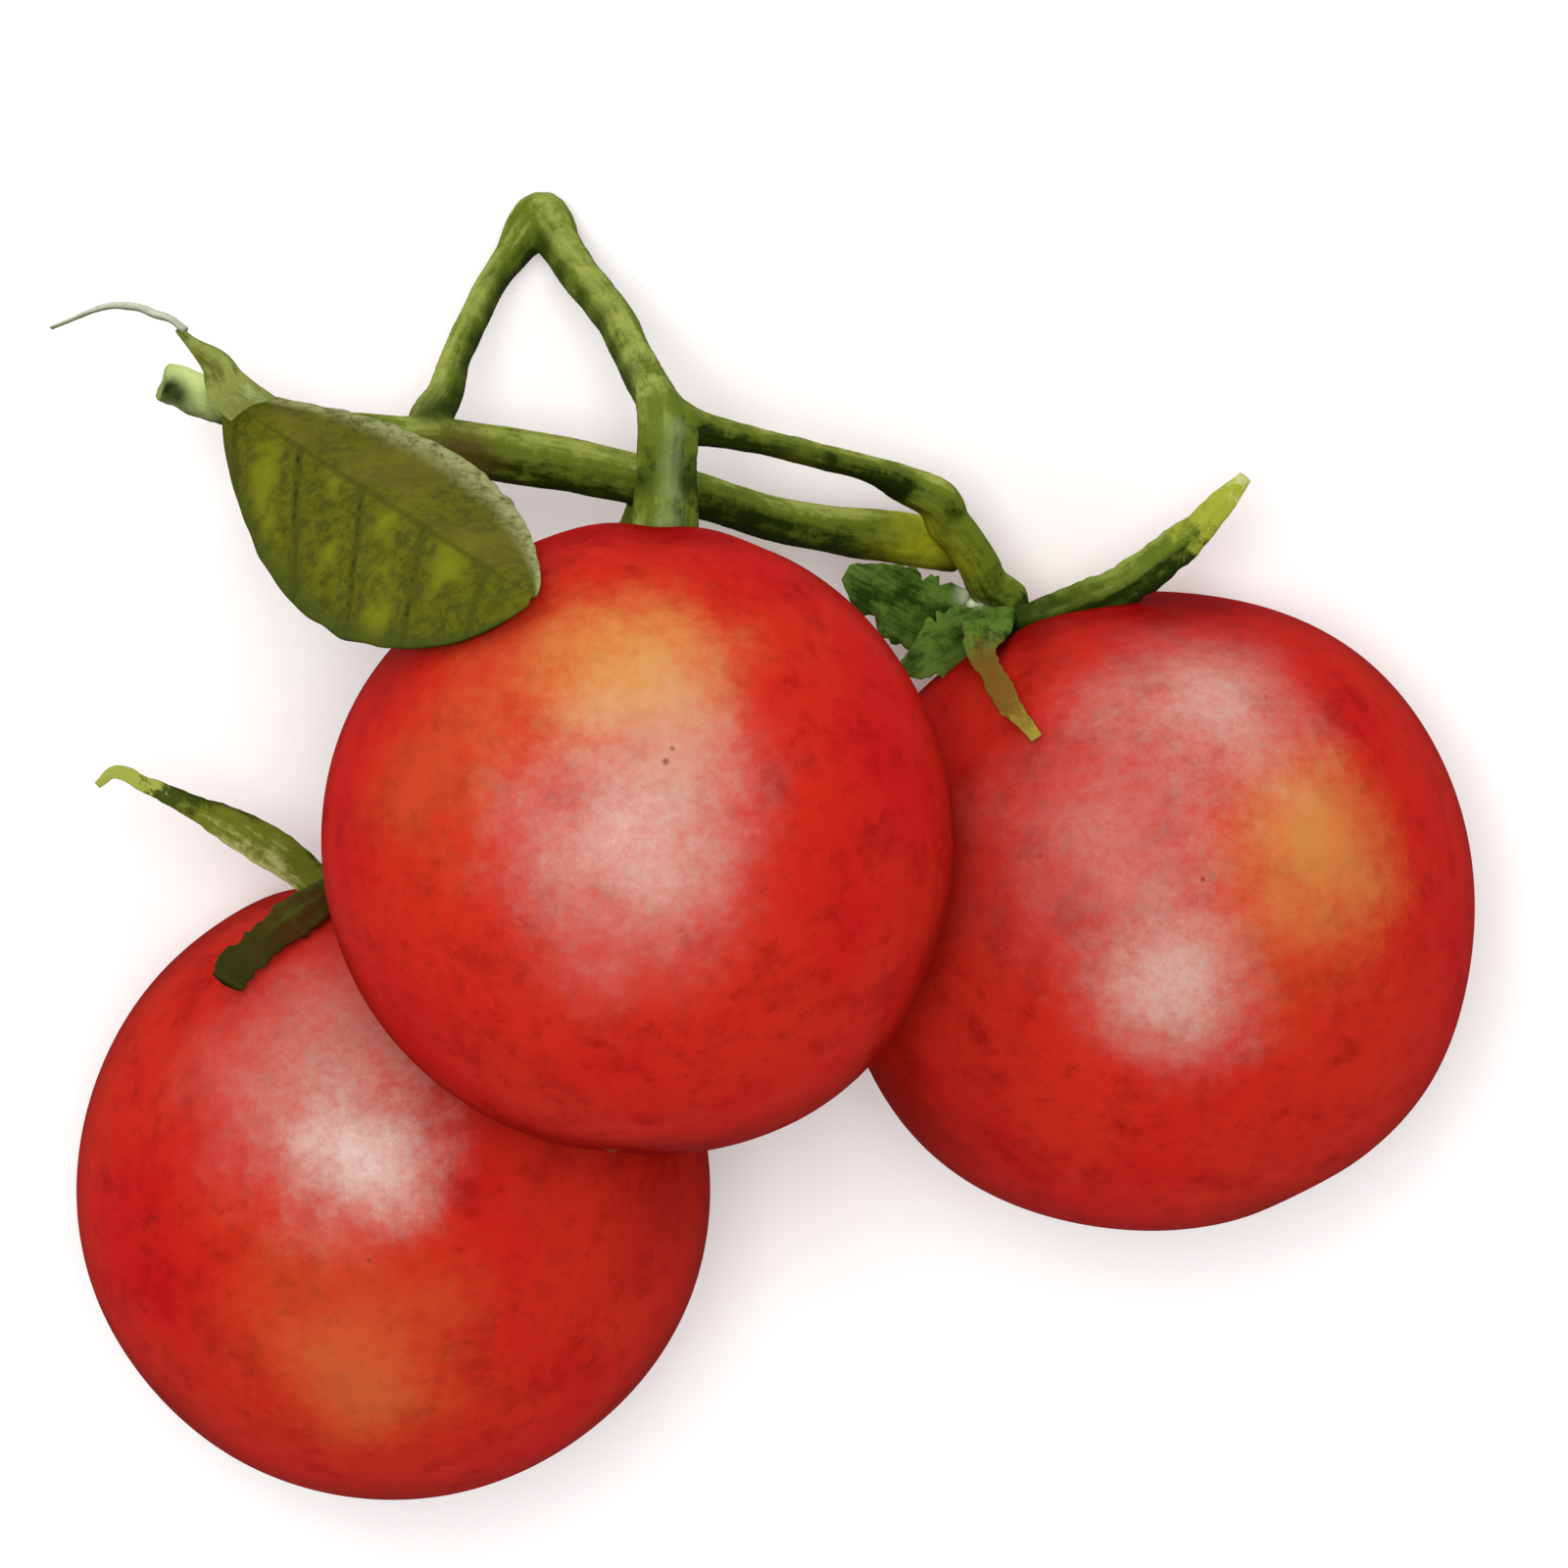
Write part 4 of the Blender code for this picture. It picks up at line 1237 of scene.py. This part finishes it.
leaf_green, tree, shader = new_material("leaf_green", 0.5, Coat_Weight=0.06, Coat_Roughness=0.45)
shader.inputs["Specular IOR Level"].default_value = 0.0
veins = tree.nodes.new("ShaderNodeSeparateXYZ")
tree.links.new(attribute(tree, "vein"), veins.inputs[0])
along, across, vein_count = veins.outputs
saw = calculate(tree, "PINGPONG", calculate(tree, "ADD", vein_count, 10.0), 0.5)
lower_half_mask = ramp(tree, across, -0.1, 0.12)
near_vein = calculate(tree, "SUBTRACT", 1.0, ramp(tree, saw, 0.0, 0.10))
vein_strength = calculate(tree, "MULTIPLY_ADD", lower_half_mask, 0.7, 0.3)
near_vein = calculate(tree, "MULTIPLY", near_vein, vein_strength)
near_rib = calculate(tree, "SUBTRACT", 1.0, ramp(tree, calculate(tree, "ABSOLUTE", across), 0.01, 0.05))
mottle = cloud(tree, in_object(tree), 1100.0, 6.0, 0.8)
mottle_wide = cloud(tree, in_object(tree), 200.0, 3.0, 0.6)
colour = mix(tree, ramp(tree, mottle, 0.38, 0.6), OLIVE_DARK, OLIVE)
browned = calculate(tree, "MULTIPLY_ADD", ramp(tree, mottle_wide, 0.42, 0.6), 0.45, 0.1)
browned = calculate(tree, "MULTIPLY", browned, calculate(tree, "MULTIPLY_ADD", lower_half_mask, -0.9, 1.0))
colour = mix(tree, browned, colour, LEAF_BROWN)
band = calculate(tree, "MULTIPLY", ramp(tree, saw, 0.16, 0.44), ramp(tree, mottle_wide, 0.4, 0.6))
band = calculate(tree, "MULTIPLY", band, calculate(tree, "MULTIPLY_ADD", lower_half_mask, 0.5, 0.1))
colour = mix(tree, band, colour, OLIVE_LIGHT)
broken = calculate(tree, "MULTIPLY", near_vein, ramp(tree, mottle, 0.42, 0.62))
colour = mix(tree, broken, colour, VEIN_DARK)
colour = mix(tree, calculate(tree, "MULTIPLY", near_rib, 0.6), colour, OLIVE_DARK)
upper_edge = ramp(tree, calculate(tree, "MULTIPLY", across, -1.0), 0.6, 0.95)
upper_edge = calculate(tree, "MULTIPLY", upper_edge, ramp(tree, mottle, 0.3, 0.6))
colour = mix(tree, upper_edge, colour, LEAF_MARGIN)
lower_edge = ramp(tree, across, 0.75, 1.0)
colour = mix(tree, calculate(tree, "MULTIPLY", lower_edge, 0.8), colour, LOWER_EDGE)
tree.links.new(colour, shader.inputs["Base Color"])
relief = calculate(tree, "SUBTRACT", mottle, calculate(tree, "MULTIPLY", near_vein, 0.8))
tree.links.new(bump(tree, relief, 0.12 * MM, 0.8), shader.inputs["Normal"])
leaf_mesh.materials.append(leaf_green)
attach(leaf, "root")
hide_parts("leaf_blade")
print("leaf:", len(leaf_mesh.polygons), "faces before its wall")

# %% The bract and its dry thread
bract_green = make_green(
    "bract_green", (0.07, 0.08, 0.008), (0.19, 0.22, 0.05), (0.40, 0.45, 0.19), shading=-1.0,
    tints=((leaf_base, 3.5 * MM, 0.9, OLIVE),),
)
bract_root = beside(leaf_point(0.1, -0.2), 0, 0, -1.6)
make_blade(
    "leaf_bract_blade", "leaf_bract", leaf_base, bract_green, "leaf", 0.15,
    root=bract_root, ragged=0.0, halves=(1.5, 1.5, 1.2, 0.8, 0.4, 0.2), facing=1.0, cuts=4,
)
dry = make_green("dry_thread", (0.16, 0.17, 0.11), (0.30, 0.31, 0.23), (0.50, 0.50, 0.40), roughness=0.8)
thread_root = middle_of("leaf_bract").lerp(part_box("leaf_thread")[1], 0.6)
make_blade("dried_thread", "leaf_thread", leaf_base, dry, "dry_thread", 0.8, root=thread_root, ragged=0.3)
print("the thread starts at", [round(x / MM, 1) for x in thread_root], "mm")
